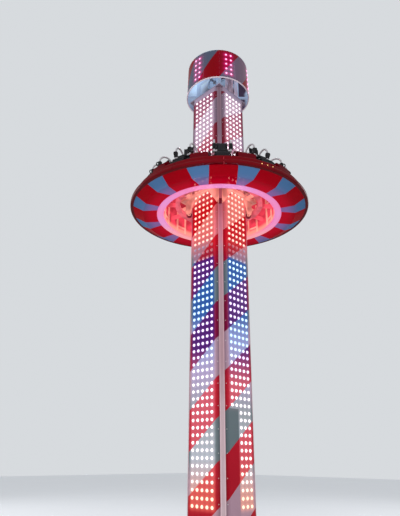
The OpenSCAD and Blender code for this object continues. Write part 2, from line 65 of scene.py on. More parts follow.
forward = Vector((-math.sin(HEADING) * math.cos(RISE), math.cos(HEADING) * math.cos(RISE), math.sin(RISE)))
level_right = forward.cross(Vector((0, 0, 1))).normalized()
level_up = level_right.cross(forward)
right = level_right * math.cos(ROLL) - level_up * math.sin(ROLL)
up = level_right * math.sin(ROLL) + level_up * math.cos(ROLL)
camera = bpy.data.objects.new("camera", bpy.data.cameras.new("camera"))
bpy.context.scene.collection.objects.link(camera)
camera.matrix_world = Matrix((
    (right.x, up.x, -forward.x, EYE.x),
    (right.y, up.y, -forward.y, EYE.y),
    (right.z, up.z, -forward.z, EYE.z),
    (0, 0, 0, 1)))
camera.data.lens = LENS
camera.data.clip_end = 200
bpy.context.scene.camera = camera
print("camera looks along", tuple(round(v, 3) for v in forward))

# %% [markdown]
# ## Room light
# A large soft lamp on each side and a gentle world fill light the ride evenly, so colours render as
# written. The world shows the camera a pale backdrop of its own, and glossy surfaces see that same
# backdrop.

# %% World, lamps and floor
scene = bpy.context.scene
scene.view_settings.view_transform = "Standard"
FILL = (0.62, 0.66, 0.72, 1)
BACKDROP = (0.80, 0.83, 0.86, 1)
world = bpy.data.worlds.new("studio")
scene.world = world
world.use_nodes = True
sky = world.node_tree
sky.nodes.clear()
path = sky.nodes.new("ShaderNodeLightPath")
seen = sky.nodes.new("ShaderNodeMath")
seen.operation = "MAXIMUM"
seen_through = sky.nodes.new("ShaderNodeMath")
seen_through.operation = "MAXIMUM"
fill = sky.nodes.new("ShaderNodeBackground")
fill.inputs["Color"].default_value = FILL
fill.inputs["Strength"].default_value = 0.42
shown = sky.nodes.new("ShaderNodeBackground")
shown.inputs["Color"].default_value = BACKDROP
shown.inputs["Strength"].default_value = 0.85
choice = sky.nodes.new("ShaderNodeMixShader")
output = sky.nodes.new("ShaderNodeOutputWorld")
sky.links.new(path.outputs["Is Camera Ray"], seen.inputs[0])
sky.links.new(path.outputs["Is Glossy Ray"], seen.inputs[1])
sky.links.new(seen.outputs[0], seen_through.inputs[0])
sky.links.new(path.outputs["Is Transmission Ray"], seen_through.inputs[1])
sky.links.new(seen_through.outputs[0], choice.inputs[0])
sky.links.new(fill.outputs[0], choice.inputs[1])
sky.links.new(shown.outputs[0], choice.inputs[2])
sky.links.new(choice.outputs[0], output.inputs[0])


def soft_lamp(name, place, aim, size, watts, mirrored=True):
    """An area lamp that points at aim; an unmirrored one leaves no pale square on glossy curves."""
    data = bpy.data.lights.new(name, "AREA")
    data.shape = "SQUARE"
    data.size = size
    data.energy = watts
    lamp = bpy.data.objects.new(name, data)
    scene.collection.objects.link(lamp)
    lamp.location = place
    lamp.rotation_euler = (Vector(aim) - Vector(place)).to_track_quat("-Z", "Y").to_euler()
    lamp.visible_glossy = mirrored
    return lamp


soft_lamp("key", (9, -12, 12), (0, 0, 6), 8, 1500, mirrored=False)
soft_lamp("side", (-13, -5, 8), (0, 0, 6), 8, 900)
soft_lamp("back", (4, 13, 10), (0, 0, 6), 8, 800)
soft_lamp("low", (7, -7, 1.2), (0, 0, 7), 5, 420, mirrored=False)

# %% [markdown]
# ## Sizes from the frame
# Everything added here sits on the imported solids, so its driving sizes are read from their boxes. Angles of
# the seats follow from their number; the rest of the sizes are those of the small parts themselves.

# %% Driving sizes
panel_low, panel_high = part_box("panel_front")
FACE = -panel_low.y                         # axis to a face of the tower
RIM_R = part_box("rim_moulding")[1].x
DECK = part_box("seat_deck")[1].z
LIGHT_LOW, LIGHT_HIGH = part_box("ring_light")[0].z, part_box("ring_light")[1].z
LIGHT_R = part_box("ring_light")[1].x
CROWN_LOW, CROWN_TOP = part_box("crown_drum")[0].z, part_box("crown_cap")[1].z
CROWN_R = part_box("crown_cap")[1].x
CROWN_FLARE = 0.018 / 0.92                  # how much the drum widens for each metre down
SEATS = 12
PITCH = 360 / SEATS
seat_angles = [(k + 0.5) * PITCH for k in range(SEATS)]
print("face %.3f, deck %.3f, crown %.3f to %.3f" % (FACE, DECK, CROWN_LOW, CROWN_TOP))


def tone(red, green, blue):
    """A colour as a screen shows it, 0 to 255, in the linear numbers that a material takes."""
    return tuple(((c / 255 + 0.055) / 1.055) ** 2.4 if c > 10 else c / 3295 for c in (red, green, blue))

# %% [markdown]
# ## Shader maths as Python
# Node trees are easier to read when an expression such as `1 - mask * 0.3` adds its own Math nodes. The
# `Wire` class wraps a socket for that, and `Finish` holds one Principled material and adds any other node
# it needs.


# %% Sockets with arithmetic
class Wire:
    """A number that flows through a material's nodes. Arithmetic on it adds nodes of its own."""

    def __init__(self, finish, socket):
        self.finish = finish
        self.socket = socket

    def ramp(self, low, high):
        """0 below low, 1 above high, smooth between."""
        made = self.finish.node("ShaderNodeMapRange", {"interpolation_type": "SMOOTHSTEP"},
                                Value=self, **{"From Min": low, "From Max": high})
        return Wire(self.finish, made.outputs["Result"])


def one_node(operation, reflected=False):
    """A method of Wire that adds one Math node; a reflected one takes the number first, as in 1 - mask."""
    def method(wire, *others):
        values = (*others, wire) if reflected else (wire, *others)
        return wire.finish.maths(operation, *values)
    return method


for name, operation in (("add", "ADD"), ("sub", "SUBTRACT"), ("mul", "MULTIPLY"), ("truediv", "DIVIDE")):
    setattr(Wire, "__%s__" % name, one_node(operation))
    setattr(Wire, "__r%s__" % name, one_node(operation, reflected=True))
for name, operation in (("__pow__", "POWER"), ("__gt__", "GREATER_THAN"), ("__lt__", "LESS_THAN"),
                        ("fraction", "FRACT"), ("floor", "FLOOR"), ("size", "ABSOLUTE"), ("sign", "SIGN"),
                        ("sine", "SINE"), ("upto", "MINIMUM"), ("atleast", "MAXIMUM")):
    setattr(Wire, name, one_node(operation))


class Finish:
    """One Principled material; fixed numbers go on its sockets, patterns come in as wires."""

    def __init__(self, name, colour, roughness, **fixed):
        self.material = bpy.data.materials.new(name)
        self.material.use_nodes = True
        self.tree = self.material.node_tree
        self.shader = self.tree.nodes["Principled BSDF"]
        self.shader.inputs["Base Color"].default_value = (*colour, 1)
        self.shader.inputs["Roughness"].default_value = roughness
        self.material.diffuse_color = (*colour, 1)
        for socket, value in fixed.items():
            self.shader.inputs[socket.replace("_", " ")].default_value = value
        self.spot = None

    def node(self, kind, settings=None, **inputs):
        made = self.tree.nodes.new(kind)
        for key, value in (settings or {}).items():
            if key == "stops":
                self.set_stops(made.color_ramp.elements, value)
            else:
                setattr(made, key, value)
        for key, value in inputs.items():
            self.join(value, made.inputs[key])
        return made

    def set_stops(self, elements, stops):
        for _ in range(len(stops) - 2):
            elements.new(0.5)
        for element, (place, colour) in zip(elements, stops):
            element.position = place
        for element, (place, colour) in zip(elements, stops):
            element.color = (*colour, 1)

    def join(self, value, socket):
        if isinstance(value, Wire):
            self.tree.links.new(value.socket, socket)
        elif isinstance(value, bpy.types.NodeSocket):
            self.tree.links.new(value, socket)
        elif isinstance(value, tuple) and socket.type == "RGBA":
            socket.default_value = (*value[:3], 1)
        else:
            socket.default_value = value

    def maths(self, operation, *values):
        made = self.node("ShaderNodeMath", {"operation": operation})
        for value, socket in zip(values, made.inputs):
            self.join(value, socket)
        return Wire(self, made.outputs[0])

    def place(self):
        """The x, y and z of the shaded point, in the ride's own metres."""
        if self.spot is None:
            coordinates = self.node("ShaderNodeTexCoord")
            self.object_place = coordinates.outputs["Object"]
            self.surface_normal = coordinates.outputs["Normal"]
            apart = self.node("ShaderNodeSeparateXYZ", Vector=self.object_place)
            self.spot = tuple(Wire(self, out) for out in apart.outputs)
        return self.spot

    def round_place(self):
        """Distance from the tower's axis, and the angle round it in degrees from -Y towards +X."""
        x, y, z = self.place()
        return (x * x + y * y) ** 0.5, self.maths("ARCTAN2", x, 0 - y) * (180 / math.pi)

    def faces_out(self):
        """1 where the surface faces away from the tower's axis, 0 where it faces the axis."""
        x, y, z = self.place()
        apart = self.node("ShaderNodeSeparateXYZ", Vector=self.surface_normal)
        normal = [Wire(self, out) for out in apart.outputs]
        return x * normal[0] + y * normal[1] > 0

    def noise(self, scale, detail=3.0, stretch=(1, 1, 1)):
        self.place()
        turned = self.node("ShaderNodeMapping", Vector=self.object_place, Scale=stretch)
        made = self.node("ShaderNodeTexNoise", Vector=turned.outputs[0], Scale=scale, Detail=detail)
        return Wire(self, made.outputs["Fac"])

    def cells(self, scale):
        """Distance to the nearest of many scattered points, for grain and pores."""
        self.place()
        made = self.node("ShaderNodeTexVoronoi", Vector=self.object_place, Scale=scale)
        return Wire(self, made.outputs["Distance"])

    def mix(self, amount, first, second):
        """A colour between first and second."""
        made = self.node("ShaderNodeMix", {"data_type": "RGBA"})
        for value, index in ((amount, 0), (first, 6), (second, 7)):
            self.join(value, made.inputs[index])
        return made.outputs[2]

    def scaled(self, colour, amount):
        """A colour made brighter or darker by a number."""
        made = self.node("ShaderNodeVectorMath", {"operation": "SCALE"})
        self.join(colour, made.inputs[0])
        self.join(amount, made.inputs["Scale"])
        return made.outputs[0]

    def stops(self, value, stops):
        """A colour read from a ramp of (place, colour) stops."""
        return self.node("ShaderNodeValToRGB", {"stops": stops}, Fac=value).outputs[0]

    def paint(self, **sockets):
        for name, value in sockets.items():
            self.join(value, self.shader.inputs[name.replace("_", " ")])

    def bump(self, height, depth, strength=1.0):
        made = self.node("ShaderNodeBump", Height=height, Distance=depth, Strength=strength)
        self.join(made.outputs[0], self.shader.inputs["Normal"])


def wear(node_names, finish):
    """Puts a finish on CAD nodes."""
    for name in node_names:
        piece = nodes[name]
        piece.data.materials.clear()
        piece.data.materials.append(finish.material)


# %% [markdown]
# ## Plain steel and paint
# Painted steel is never one even tone: a slow noise shifts its brightness, a finer one its gloss, and a
# very fine one stands in for orange peel. One function makes each of the plain paints with its own colour
# and gloss.


# %% Painted steel finishes
def painted(name, colour, roughness, uneven=0.12, **fixed):
    fixed.setdefault("Specular_IOR_Level", 0.3)
    finish = Finish(name, colour, roughness, **fixed)
    slow = finish.noise(2.4)
    fine = finish.noise(38.0, 2.0)
    darker = tuple(c * (1 - uneven) for c in colour)
    lighter = tuple(min(1, c * (1 + uneven)) for c in colour)
    finish.paint(Base_Color=finish.mix(slow, darker, lighter), Roughness=roughness - 0.06 + fine * 0.12)
    finish.bump(finish.noise(160.0, 1.0), 0.0004)
    return finish


base_paint = painted("dark_base_paint", (0.09, 0.09, 0.10), 0.5)
brace_paint = painted("grey_brace_paint", (0.20, 0.18, 0.20), 0.5)
machined = painted("machined_steel", (0.48, 0.47, 0.50), 0.3, 0.06, Metallic=1.0)
bright_bolt = painted("zinc_plated_steel", (0.62, 0.62, 0.60), 0.35, 0.05, Metallic=1.0)
seat_steel = painted("black_powder_coat", (0.05, 0.05, 0.055), 0.5)
black_shell = painted("black_moulded_shell", (0.013, 0.012, 0.014), 0.4, Specular_IOR_Level=0.06)
arm_paint = painted("pale_arm_paint", (0.40, 0.38, 0.40), 0.45, 0.05, Specular_IOR_Level=0.1)
black_grip = painted("black_rubber_grip", (0.015, 0.015, 0.015), 0.7, Specular_IOR_Level=0.06)

wear(["base_beam_x", "base_beam_y", "foot_plates", "base_plate"], base_paint)
wear(["inner_bracing"], brace_paint)
wear(["sheaves"], machined)
wear(["seat_frames"], seat_steel)

# %% [markdown]
# ## Hoist rope
# A wire rope's strands wind round it. The angle round each rope plus its height makes a diagonal wave,
# which is taken here as a bump on the straight runs, close enough for a rope that lies deep inside the
# tower.

# %% Rope finish
rope = Finish("galvanised_wire_rope", (0.5, 0.5, 0.52), 0.4, Metallic=0.9)
x, y, z = rope.place()
ROPE_LAY = 0.09
strand = ((x + y) * 420 + z * (2 * math.pi / ROPE_LAY)).sine()
rope.paint(Base_Color=rope.mix(strand * 0.5 + 0.5, (0.28, 0.27, 0.26), (0.62, 0.62, 0.64)))
rope.bump(strand, 0.0012)
wear(["hoist_ropes"], rope)

# %% [markdown]
# ## The light show
# Five columns of lamps run up each face of the tower, and their colour changes with height: warm at the
# foot, white, blue under the gondola, coral behind it, and rose above. Light on red paint and light on grey
# paint look so different that each gets its own colour ramps over the height: one for the lamps, one for
# the lit field between them, and one for the panel's margins.

# %% Lamp grid and its colours
LAMP_U, LAMP_Z = 0.1204, 0.1296             # spacing across and up a face
LAMP_FIRST = 0.841
LAMP_COLUMNS, LAMP_ROWS = 5, 70
LAMP_LAST = LAMP_FIRST + (LAMP_ROWS - 1) * LAMP_Z
BLANK_BELOW = 2.461                         # the right face has no lamps near the front corner below this
SHOW_TOP = 11.0
DARK_FROM, DARK_TO = 5.48, 5.84             # a few rows here are unlit
WARM, WHITE = tone(255, 215, 180), tone(255, 246, 250)
ICE, LILAC = tone(190, 230, 255), tone(230, 206, 252)
CORAL, BLUSH = tone(255, 190, 176), tone(255, 234, 246)
UNLIT, UNLIT_RED = tone(120, 90, 118), tone(150, 40, 60)
VIOLET, OCEAN = tone(70, 0, 102), tone(26, 78, 150)
ABOVE_UNLIT = [(DARK_TO + 0.02, CORAL), (7.2, CORAL), (8.2, BLUSH)]
LAMP_ON_GREY = [(1.0, WARM), (1.4, WHITE), (3.1, WHITE), (3.7, ICE), (DARK_FROM - 0.02, ICE),
                (DARK_FROM, UNLIT), (DARK_TO, UNLIT), *ABOVE_UNLIT]
LAMP_ON_RED = [(1.0, WARM), (1.8, WHITE), (2.9, WHITE), (3.4, LILAC), (DARK_FROM - 0.02, LILAC),
               (DARK_FROM, UNLIT_RED), (DARK_TO, UNLIT_RED), *ABOVE_UNLIT]
RED_SHOW = [(1.0, tone(215, 88, 80)), (1.6, tone(205, 80, 92)), (2.9, tone(200, 88, 106)),
            (3.6, VIOLET), (DARK_FROM - 0.02, VIOLET), (DARK_FROM, tone(128, 8, 46)),
            (DARK_TO, tone(188, 12, 24)), (6.7, tone(200, 14, 22)), (7.1, tone(208, 84, 88)),
            (8.2, tone(155, 46, 72)), (8.6, tone(168, 104, 122)), (9.8, tone(140, 84, 108))]
GREY_SHOW = [(1.0, tone(215, 150, 140)), (1.6, tone(176, 180, 190)), (2.4, tone(150, 154, 160)),
             (3.1, tone(168, 152, 188)), (3.8, tone(134, 144, 196)), (4.3, OCEAN),
             (DARK_FROM - 0.02, OCEAN), (DARK_FROM, tone(126, 104, 130)), (DARK_TO, tone(186, 106, 114)),
             (6.0, tone(214, 100, 98)), (7.1, tone(232, 138, 124)), (8.2, tone(170, 118, 140)),
             (8.6, tone(178, 152, 172)), (9.8, tone(180, 156, 174))]
# RED, GREY and HEAD_GREY are the panels' paints; the pale grey and the well's pink are the show's light
# painted on grey.
RED, GREY, PAINTED_LIGHT_ON_GREY = tone(184, 6, 32), tone(94, 106, 110), tone(164, 132, 146)
PAINTED_WELL_LIGHT, HEAD_GREY = tone(226, 120, 130), tone(142, 126, 144)
# The margin ramps paint the show's light onto the margins by height, as painted light.
RED_MARGIN = [(1.0, tone(158, 6, 30)), (2.9, tone(172, 12, 34)), (3.7, tone(112, 2, 48)),
              (5.2, tone(124, 4, 36)), (5.8, RED), (7.4, RED), (8.0, tone(104, 12, 34))]
GREY_MARGIN = [(1.2, PAINTED_LIGHT_ON_GREY), (1.6, GREY), (2.4, GREY), (2.8, PAINTED_LIGHT_ON_GREY), (3.9, PAINTED_LIGHT_ON_GREY), (4.3, GREY),
               (5.6, GREY), (6.0, PAINTED_WELL_LIGHT), (7.0, PAINTED_WELL_LIGHT), (7.4, tone(118, 98, 116))]


def by_height(finish, ramp):
    """A ramp's colour at the shaded point's height."""
    z = finish.place()[2]
    return finish.stops(z / SHOW_TOP, [(height / SHOW_TOP, colour) for height, colour in ramp])


def nearest(value, first, step, count):
    """Offset from the nearest of count places, that start at first and lie step apart."""
    place = ((value - first) / step + 0.5).floor().atleast(0).upto(count - 1)
    return value - first - place * step


# %% [markdown]
# ## Striped tower panels
# Red and grey bands climb round the tower at one slope, so the pattern needs one developed coordinate that
# runs on from face to face and over the folded edges. The lamps stand so close that the whole field between
# them is lit; that light is painted on as a glow and as a tint of the paint, and each lamp adds a painted
# spot.
# The panel's margins keep more of their paint's colour, with the show's light painted in by height, and
# painted shade darkens the folded edges.

# %% Panel finish
BAND = 0.7325                                # height of one band
BAND_EDGE = 5.295                            # a band's lower edge at the front corner
BAND_SLOPE = 0.803                           # climb for each metre round the tower
QUARTER = 0.912                              # developed length of one face and its folds
SPILL_REACH = 0.034
FIELD_HALF, FIELD_END = 0.27, 0.335          # the lamps' light fades between these, from a face's middle


def face_place(finish, quarter):
    """Where the shaded point lies along its face, its height, and whether a red band crosses it."""
    x, y, z = finish.place()
    along, depth = ((x, y), (y, 0 - x), (0 - x, 0 - y), (0 - y, x))[quarter]
    fold = along.sign() * (depth + FACE) * (math.sqrt(2) - 1)
    round_tower = along + fold + (quarter - 0.5) * QUARTER
    band = ((z - round_tower * BAND_SLOPE - BAND_EDGE) / (2 * BAND)).fraction()
    return along, z, band < 0.5


def panel_finish(name, quarter):
    finish = Finish(name, GREY, 0.3, Emission_Strength=1.0, Specular_IOR_Level=0.1)
    along, z, is_red = face_place(finish, quarter)
    stripe = finish.mix(is_red, by_height(finish, GREY_MARGIN), by_height(finish, RED_MARGIN))
    stripe = finish.mix(z > LAMP_LAST + 0.05, stripe, HEAD_GREY)
    # Painted shade: the folded edges of each face are darker and the flat middle brighter.
    stripe = finish.scaled(stripe, 1.2 - along.size().ramp(FIELD_END - 0.02, FIELD_END + 0.06) * 0.6)
    across = nearest(along, -2 * LAMP_U, LAMP_U, LAMP_COLUMNS)
    upward = nearest(z, LAMP_FIRST, LAMP_Z, LAMP_ROWS)
    spot = 1 / (1 + (across * across + upward * upward) / SPILL_REACH ** 2)
    field = (1 - along.size().ramp(FIELD_HALF, FIELD_END)) * z.ramp(LAMP_FIRST - 0.1, LAMP_FIRST)
    field = field * (1 - z.ramp(LAMP_LAST + 0.02, LAMP_LAST + 0.06))
    if quarter == 1:
        blank = (z < BLANK_BELOW) * (along < -LAMP_U / 2)
        spot = spot * (1 - blank)
        field = field * (1 - blank)
    lit = finish.mix(is_red, by_height(finish, GREY_SHOW), by_height(finish, RED_SHOW))
    # Painted light: under the lit field the paint takes the show's colour, and the field and the spots glow.
    finish.paint(Base_Color=finish.mix(field, stripe, finish.scaled(lit, 0.45)),
                 Emission_Color=finish.scaled(lit, field * 0.44 + spot * 1.0),
                 Roughness=0.26 + finish.noise(30.0) * 0.14)
    finish.bump(finish.noise(3.0), 0.002)
    return finish


for quarter, face in enumerate(("panel_front", "panel_right", "panel_back", "panel_left")):
    wear([face], panel_finish("striped_" + face, quarter))
print("band height %.2f, %d lamps on each face" % (BAND, LAMP_COLUMNS * LAMP_ROWS))

# %% [markdown]
# ## Corner tubes
# The gondola's rollers run on these pale tubes. The show's light on them is painted in: their tones change
# with height and they have a faint painted glow. They wear darker and smoother in a stripe down the middle of
# each face, where the rollers pass.

# %% Corner tube finish
RAIL_TONES = [(1.0, tone(200, 174, 180)), (2.4, tone(196, 168, 174)), (3.2, tone(176, 142, 150)),
              (5.5, tone(176, 138, 148)), (5.9, tone(208, 126, 144)), (7.0, tone(208, 126, 144)),
              (7.8, tone(160, 120, 140)), (8.6, tone(122, 96, 110))]
TRACK = 0.024
rail = Finish("pale_rail_paint", (0.45, 0.40, 0.44), 0.34, Emission_Strength=1.0, Specular_IOR_Level=0.3)
x, y, z = rail.place()
track = 1 - ((x.size() - y.size()).size() * math.sqrt(0.5)).ramp(TRACK, TRACK + 0.012)
streak = rail.noise(9.0, 4.0, (6, 6, 0.5))
pale = by_height(rail, RAIL_TONES)
rail.paint(Base_Color=rail.scaled(pale, 0.82 + streak * 0.28 - track * 0.22),
           Emission_Color=rail.scaled(pale, 0.14), Roughness=0.38 - track * 0.12)
rail.bump(rail.noise(120.0, 1.0), 0.0004)
wear(["corner_legs"], rail)
wear(["top_frame"], painted("grey_lavender_paint", HEAD_GREY, 0.4))

# %% [markdown]
# ## Crown
# The drum's bands turn the same way as the tower's. Outside it is striped, with a painted pink glow round its
# paired lamps, and its grey bands are painted lighter and pinker towards one side as painted light. Inside it
# is a pale blue, with painted light and glow where the room's light reaches and painted shade behind the
# tower.
# The surface's own direction, away from the axis or towards it, tells the two sides of the thin wall apart.
# The brackets that hold the drum wear its paint too.

# %% Crown finish
CROWN_BAND = 90                               # degrees taken by one red and one grey band
CROWN_TURN = 47.6                             # degrees that the bands turn for each metre of height
CROWN_BASE = 10.08
CROWN_PAIRS = 6
CROWN_PAIR_FIRST = 2.5
CROWN_PAIR_HALF = 4.6                         # degrees from a pair's middle to one of its columns
CROWN_ROWS = [10.245 + 0.151 * row for row in range(5)]
crown = Finish("striped_crown_skin", (0.3, 0.002, 0.01), 0.32, Emission_Strength=1.0, Specular_IOR_Level=0.06)
radius, turn = crown.round_place()
x, y, z = crown.place()
band = ((turn - (z - CROWN_BASE) * CROWN_TURN + 720) / CROWN_BAND).fraction()
# Painted light: the grey bands turn lighter and pinker towards one side of the drum.
to_right = ((x + y) * (math.sqrt(0.5) / CROWN_R)).ramp(0.1, 0.9)
painted_lit_grey = crown.mix(to_right, tone(72, 82, 100), tone(112, 88, 106))
outside = crown.mix(band < 0.48, painted_lit_grey, tone(120, 0, 8))
pair = ((turn - CROWN_PAIR_FIRST + 720 + 180 / CROWN_PAIRS) / (360 / CROWN_PAIRS)).fraction() - 0.5
off_column = (pair * (360 / CROWN_PAIRS)).size() - CROWN_PAIR_HALF
across = off_column * (math.pi / 180 * CROWN_R)
upward = nearest(z, CROWN_ROWS[0], CROWN_ROWS[1] - CROWN_ROWS[0], len(CROWN_ROWS))
glow = 1 / (1 + ((across * across + upward * upward) / 0.030 ** 2) ** 1.25)
is_outside = crown.faces_out() * (radius > CROWN_R - 0.010 + (CROWN_TOP - z) * CROWN_FLARE)
is_inside = (1 - is_outside) * (z > CROWN_LOW + 0.027)
is_bead = z < CROWN_LOW + 0.0265


def inside_crown(finish):
    """Paint inside the drum with painted light and shade, and its painted glow: pale on the left, painted
    shade behind the tower.
    """
    z = finish.place()[2]
    radius, turn = finish.round_place()
    shaded = (0 - turn - 60 - (z - CROWN_LOW) * 30).ramp(0, 36)
    right = turn.ramp(147, 160).atleast(turn.ramp(125, 150) * z.ramp(CROWN_LOW + 0.36, CROWN_LOW + 0.52))
    pale = finish.mix(z.ramp(CROWN_LOW + 0.1, CROWN_TOP - 0.1), tone(138, 152, 174), tone(192, 214, 234))
    inner = finish.mix(shaded.atleast(right), pale, tone(64, 52, 70))
    return inner, finish.scaled(inner, 0.62)


inner, inner_glow = inside_crown(crown)
skin = crown.mix(is_bead, crown.mix(is_inside, outside, inner), tone(222, 208, 218))
shown_glow = glow * (1 - is_inside) * (1 - is_bead)
pink_glow = crown.scaled((0.95, 0.02, 0.30), shown_glow * 1.5)
crown.paint(Base_Color=skin, Roughness=0.28 + crown.noise(40.0) * 0.12,
            Emission_Color=crown.mix(is_inside, pink_glow, inner_glow))
crown.bump(crown.noise(4.0), 0.002)
wear(["crown_drum", "crown_brackets"], crown)

cap = Finish("crown_cap_paint", (0.42, 0.45, 0.47), 0.45, Emission_Strength=1.0, Specular_IOR_Level=0.3)
x, y, z = cap.place()
under = z < CROWN_TOP - 0.002
# The cap's underside takes the same painted light, shade and glow as the inside of the drum.
inner, inner_glow = inside_crown(cap)
cap.paint(Base_Color=cap.mix(under, cap.mix(cap.noise(2.4), (0.38, 0.41, 0.43), (0.46, 0.49, 0.51)), inner),
          Emission_Color=cap.mix(under, (0, 0, 0), inner_glow))
cap.bump(cap.noise(160.0, 1.0), 0.0004)
wear(["crown_cap"], cap)

# The head posts and beams take the inside's painted light, shade and glow, so that they blend with the wall.
head_paint = Finish("head_paint_with_painted_light", (0.30, 0.25, 0.30), 0.5, Emission_Strength=1.0, Specular_IOR_Level=0.3)
inner, inner_glow = inside_crown(head_paint)
head_paint.paint(Base_Color=inner, Emission_Color=head_paint.scaled(inner_glow, 0.9))
head_paint.bump(head_paint.noise(160.0, 1.0), 0.0004)
wear(["head_posts", "head_beams"], head_paint)

# %% [markdown]
# ## Glossy gondola
# The underside is glass fibre with a polished gel coat. A clear coat over the paint gives the sharp
# reflections, and a very long, shallow bump bends them a little, as a hand-finished moulding does.


# %% Gel coat finishes
def gel_coat(name, colour, coat=0.14, spill=None):
    """Polished gel coat; spill is the ring light's colour painted on it as a glow, close to the ring."""
    finish = Finish(name, colour, 0.25, Coat_Weight=coat, Coat_Roughness=0.05, Coat_IOR=1.3,
                    Specular_IOR_Level=0.0, Emission_Strength=1.0 if spill else 0.0)
    cloud = finish.noise(1.6)
    grime = finish.noise(14.0, 5.0).ramp(0.55, 0.8)
    darker = tuple(c * 0.82 for c in colour)
    finish.paint(Base_Color=finish.mix(cloud, darker, colour), Roughness=0.18 + grime * 0.16)
    if spill:
        radius = finish.round_place()[0]
        finish.paint(Emission_Color=finish.scaled(spill, 1 - radius.ramp(LIGHT_R + 0.06, LIGHT_R + 0.42)))
    finish.bump(finish.noise(2.2, 1.0), 0.004)
    return finish


wear(["skirt_red"], gel_coat("red_gel_coat", tone(184, 0, 22), spill=(0.20, 0.0, 0.010)))
wear(["skirt_grey"], gel_coat("blue_grey_gel_coat", tone(90, 134, 184), spill=(0.17, 0.005, 0.08)))
wear(["rim_moulding", "seat_deck"], gel_coat("deep_red_gel_coat", tone(106, 0, 12), 0.4))
wear(["consoles"], gel_coat("dark_red_gel_coat", tone(94, 0, 14), 0.4))

# %% [markdown]
# ## Ring light
# A milky diffuser rings the well. Its light drifts between rose and lavender round the ring, from a slow
# noise, and turns salmon on one side. It is a little brighter along the middle of its width, where the
# lamps sit behind it.

# %% Ring light finish
diffuser = Finish("ring_diffuser", (0.35, 0.12, 0.25), 0.35, Emission_Strength=1.0, Specular_IOR_Level=0.1)
radius = diffuser.round_place()[0]
HALF_WIDTH = 0.075                           # half of the light's width
light_middle = LIGHT_R - HALF_WIDTH
drift = diffuser.noise(0.9, 1.0).ramp(0.35, 0.65)
middle = 1 - ((radius - light_middle).size() / HALF_WIDTH).upto(1) ** 2
hue = diffuser.mix(drift, (0.66, 0.15, 0.34), (0.56, 0.20, 0.48))
x, y, z = diffuser.place()
far = ((y - x) * (math.sqrt(0.5) / LIGHT_R)).ramp(0.1, 0.75)
hue = diffuser.mix(far, hue, (0.78, 0.27, 0.22))
diffuser.paint(Emission_Color=diffuser.mix(middle * 0.12, hue, (0.9, 0.6, 0.85)))
wear(["ring_light"], diffuser)

# %% [markdown]
# ## Inside the well
# Red light fills the space between tower and gondola. The steel there is cream or red, and a soft self-glow
# that fades upwards stands in for the many bounces of that red light.


# %% Well finishes
SALMON = (1.0, 0.36, 0.27)


def well_lit(name, colour, glow, near=0.5, corners=0.0):
    """Paint with a painted red glow that fades upwards and soft patches of painted shade; near adds the ring
    light's salmon as painted light, corners dims the glow.
    """
    finish = Finish(name, colour, 0.4, Emission_Strength=1.0, Specular_IOR_Level=0.1)
    x, y, z = finish.place()
    fade = 1 - z.ramp(LIGHT_LOW, LIGHT_LOW + 0.85) * 0.5
    if corners:
        fade = fade * (1 - (1 - (x.size() - y.size()).size().ramp(0.08, 0.30)) * corners)
    close = 1 - z.ramp(LIGHT_HIGH + 0.04, LIGHT_HIGH + 0.16)
    patchy = finish.noise(3.0)
    shadow = finish.noise(4.0, 1.0).ramp(0.35, 0.62) * 0.55 + 0.5
    darker = tuple(c * 0.6 for c in colour)
    finish.paint(Base_Color=finish.mix(patchy, darker, colour),
                 Emission_Color=finish.mix(close * near, finish.scaled(glow, fade * shadow), SALMON))
    finish.bump(finish.noise(140.0, 1.0), 0.0004)
    return finish


wear(["carriage_side_beams", "carriage_cross_beams", "carriage_posts", "carriage_arms", "roller_brackets",
      "well_frames"], well_lit("cream_carriage_paint", (0.60, 0.28, 0.24), (0.98, 0.32, 0.26), 0.5, 0.6))
wear(["carriage_roof"], well_lit("lavender_roof_paint", (0.40, 0.24, 0.32), (0.50, 0.17, 0.24), 0.2, 0.4))
wear(["slew_ring_inner", "slew_ring_outer"],
     well_lit("lit_ring_steel", (0.36, 0.10, 0.12), (0.72, 0.10, 0.14), 0.3))
wear(["radial_beams", "well_ring", "skirt_ribs"],
     well_lit("red_gondola_steel", (0.50, 0.04, 0.07), (0.82, 0.09, 0.13), 0.8))
wear(["well_walls"], well_lit("well_red_lining", (0.44, 0.02, 0.05), (0.78, 0.06, 0.10), 0.9))
wear(["guide_rollers"], well_lit("dark_red_roller_tyre", (0.10, 0.01, 0.02), (0.12, 0.004, 0.012), 0.0))

# %% [markdown]
# ## Making pieces from bmesh
# Small round parts are built upwards from one circle: each ring is extruded from the last, then scaled and
# lifted. `stamp` repeats a finished mesh, and `show` makes a mesh an object that rides on its body.


# %% Modelling helpers
def turned(bm, rings, segments=16, matrix=Matrix(), capped=True, tag=0):
    """A round piece built upwards through (radius, height) rings."""
    first_r, first_z = rings[0]
    made = bmesh.ops.create_circle(bm, cap_ends=False, segments=segments, radius=first_r,
                                   matrix=Matrix.Translation((0, 0, first_z)))
    ring = made["verts"]
    edges = list({e for v in ring for e in v.link_edges})
    verts = list(ring)
    if capped:
        bmesh.ops.edgeloop_fill(bm, edges=edges)
    for (r0, z0), (r1, z1) in zip(rings, rings[1:]):
        out = bmesh.ops.extrude_edge_only(bm, edges=edges)
        ring = [g for g in out["geom"] if isinstance(g, bmesh.types.BMVert)]
        edges = [g for g in out["geom"] if isinstance(g, bmesh.types.BMEdge)]
        bmesh.ops.scale(bm, vec=(r1 / r0, r1 / r0, 1), verts=ring)
        bmesh.ops.translate(bm, vec=(0, 0, z1 - z0), verts=ring)
        verts += ring
    if capped:
        bmesh.ops.edgeloop_fill(bm, edges=edges)
    for face in {f for v in verts for f in v.link_faces}:
        face.material_index = tag
    bmesh.ops.transform(bm, matrix=matrix, verts=verts)
    return verts


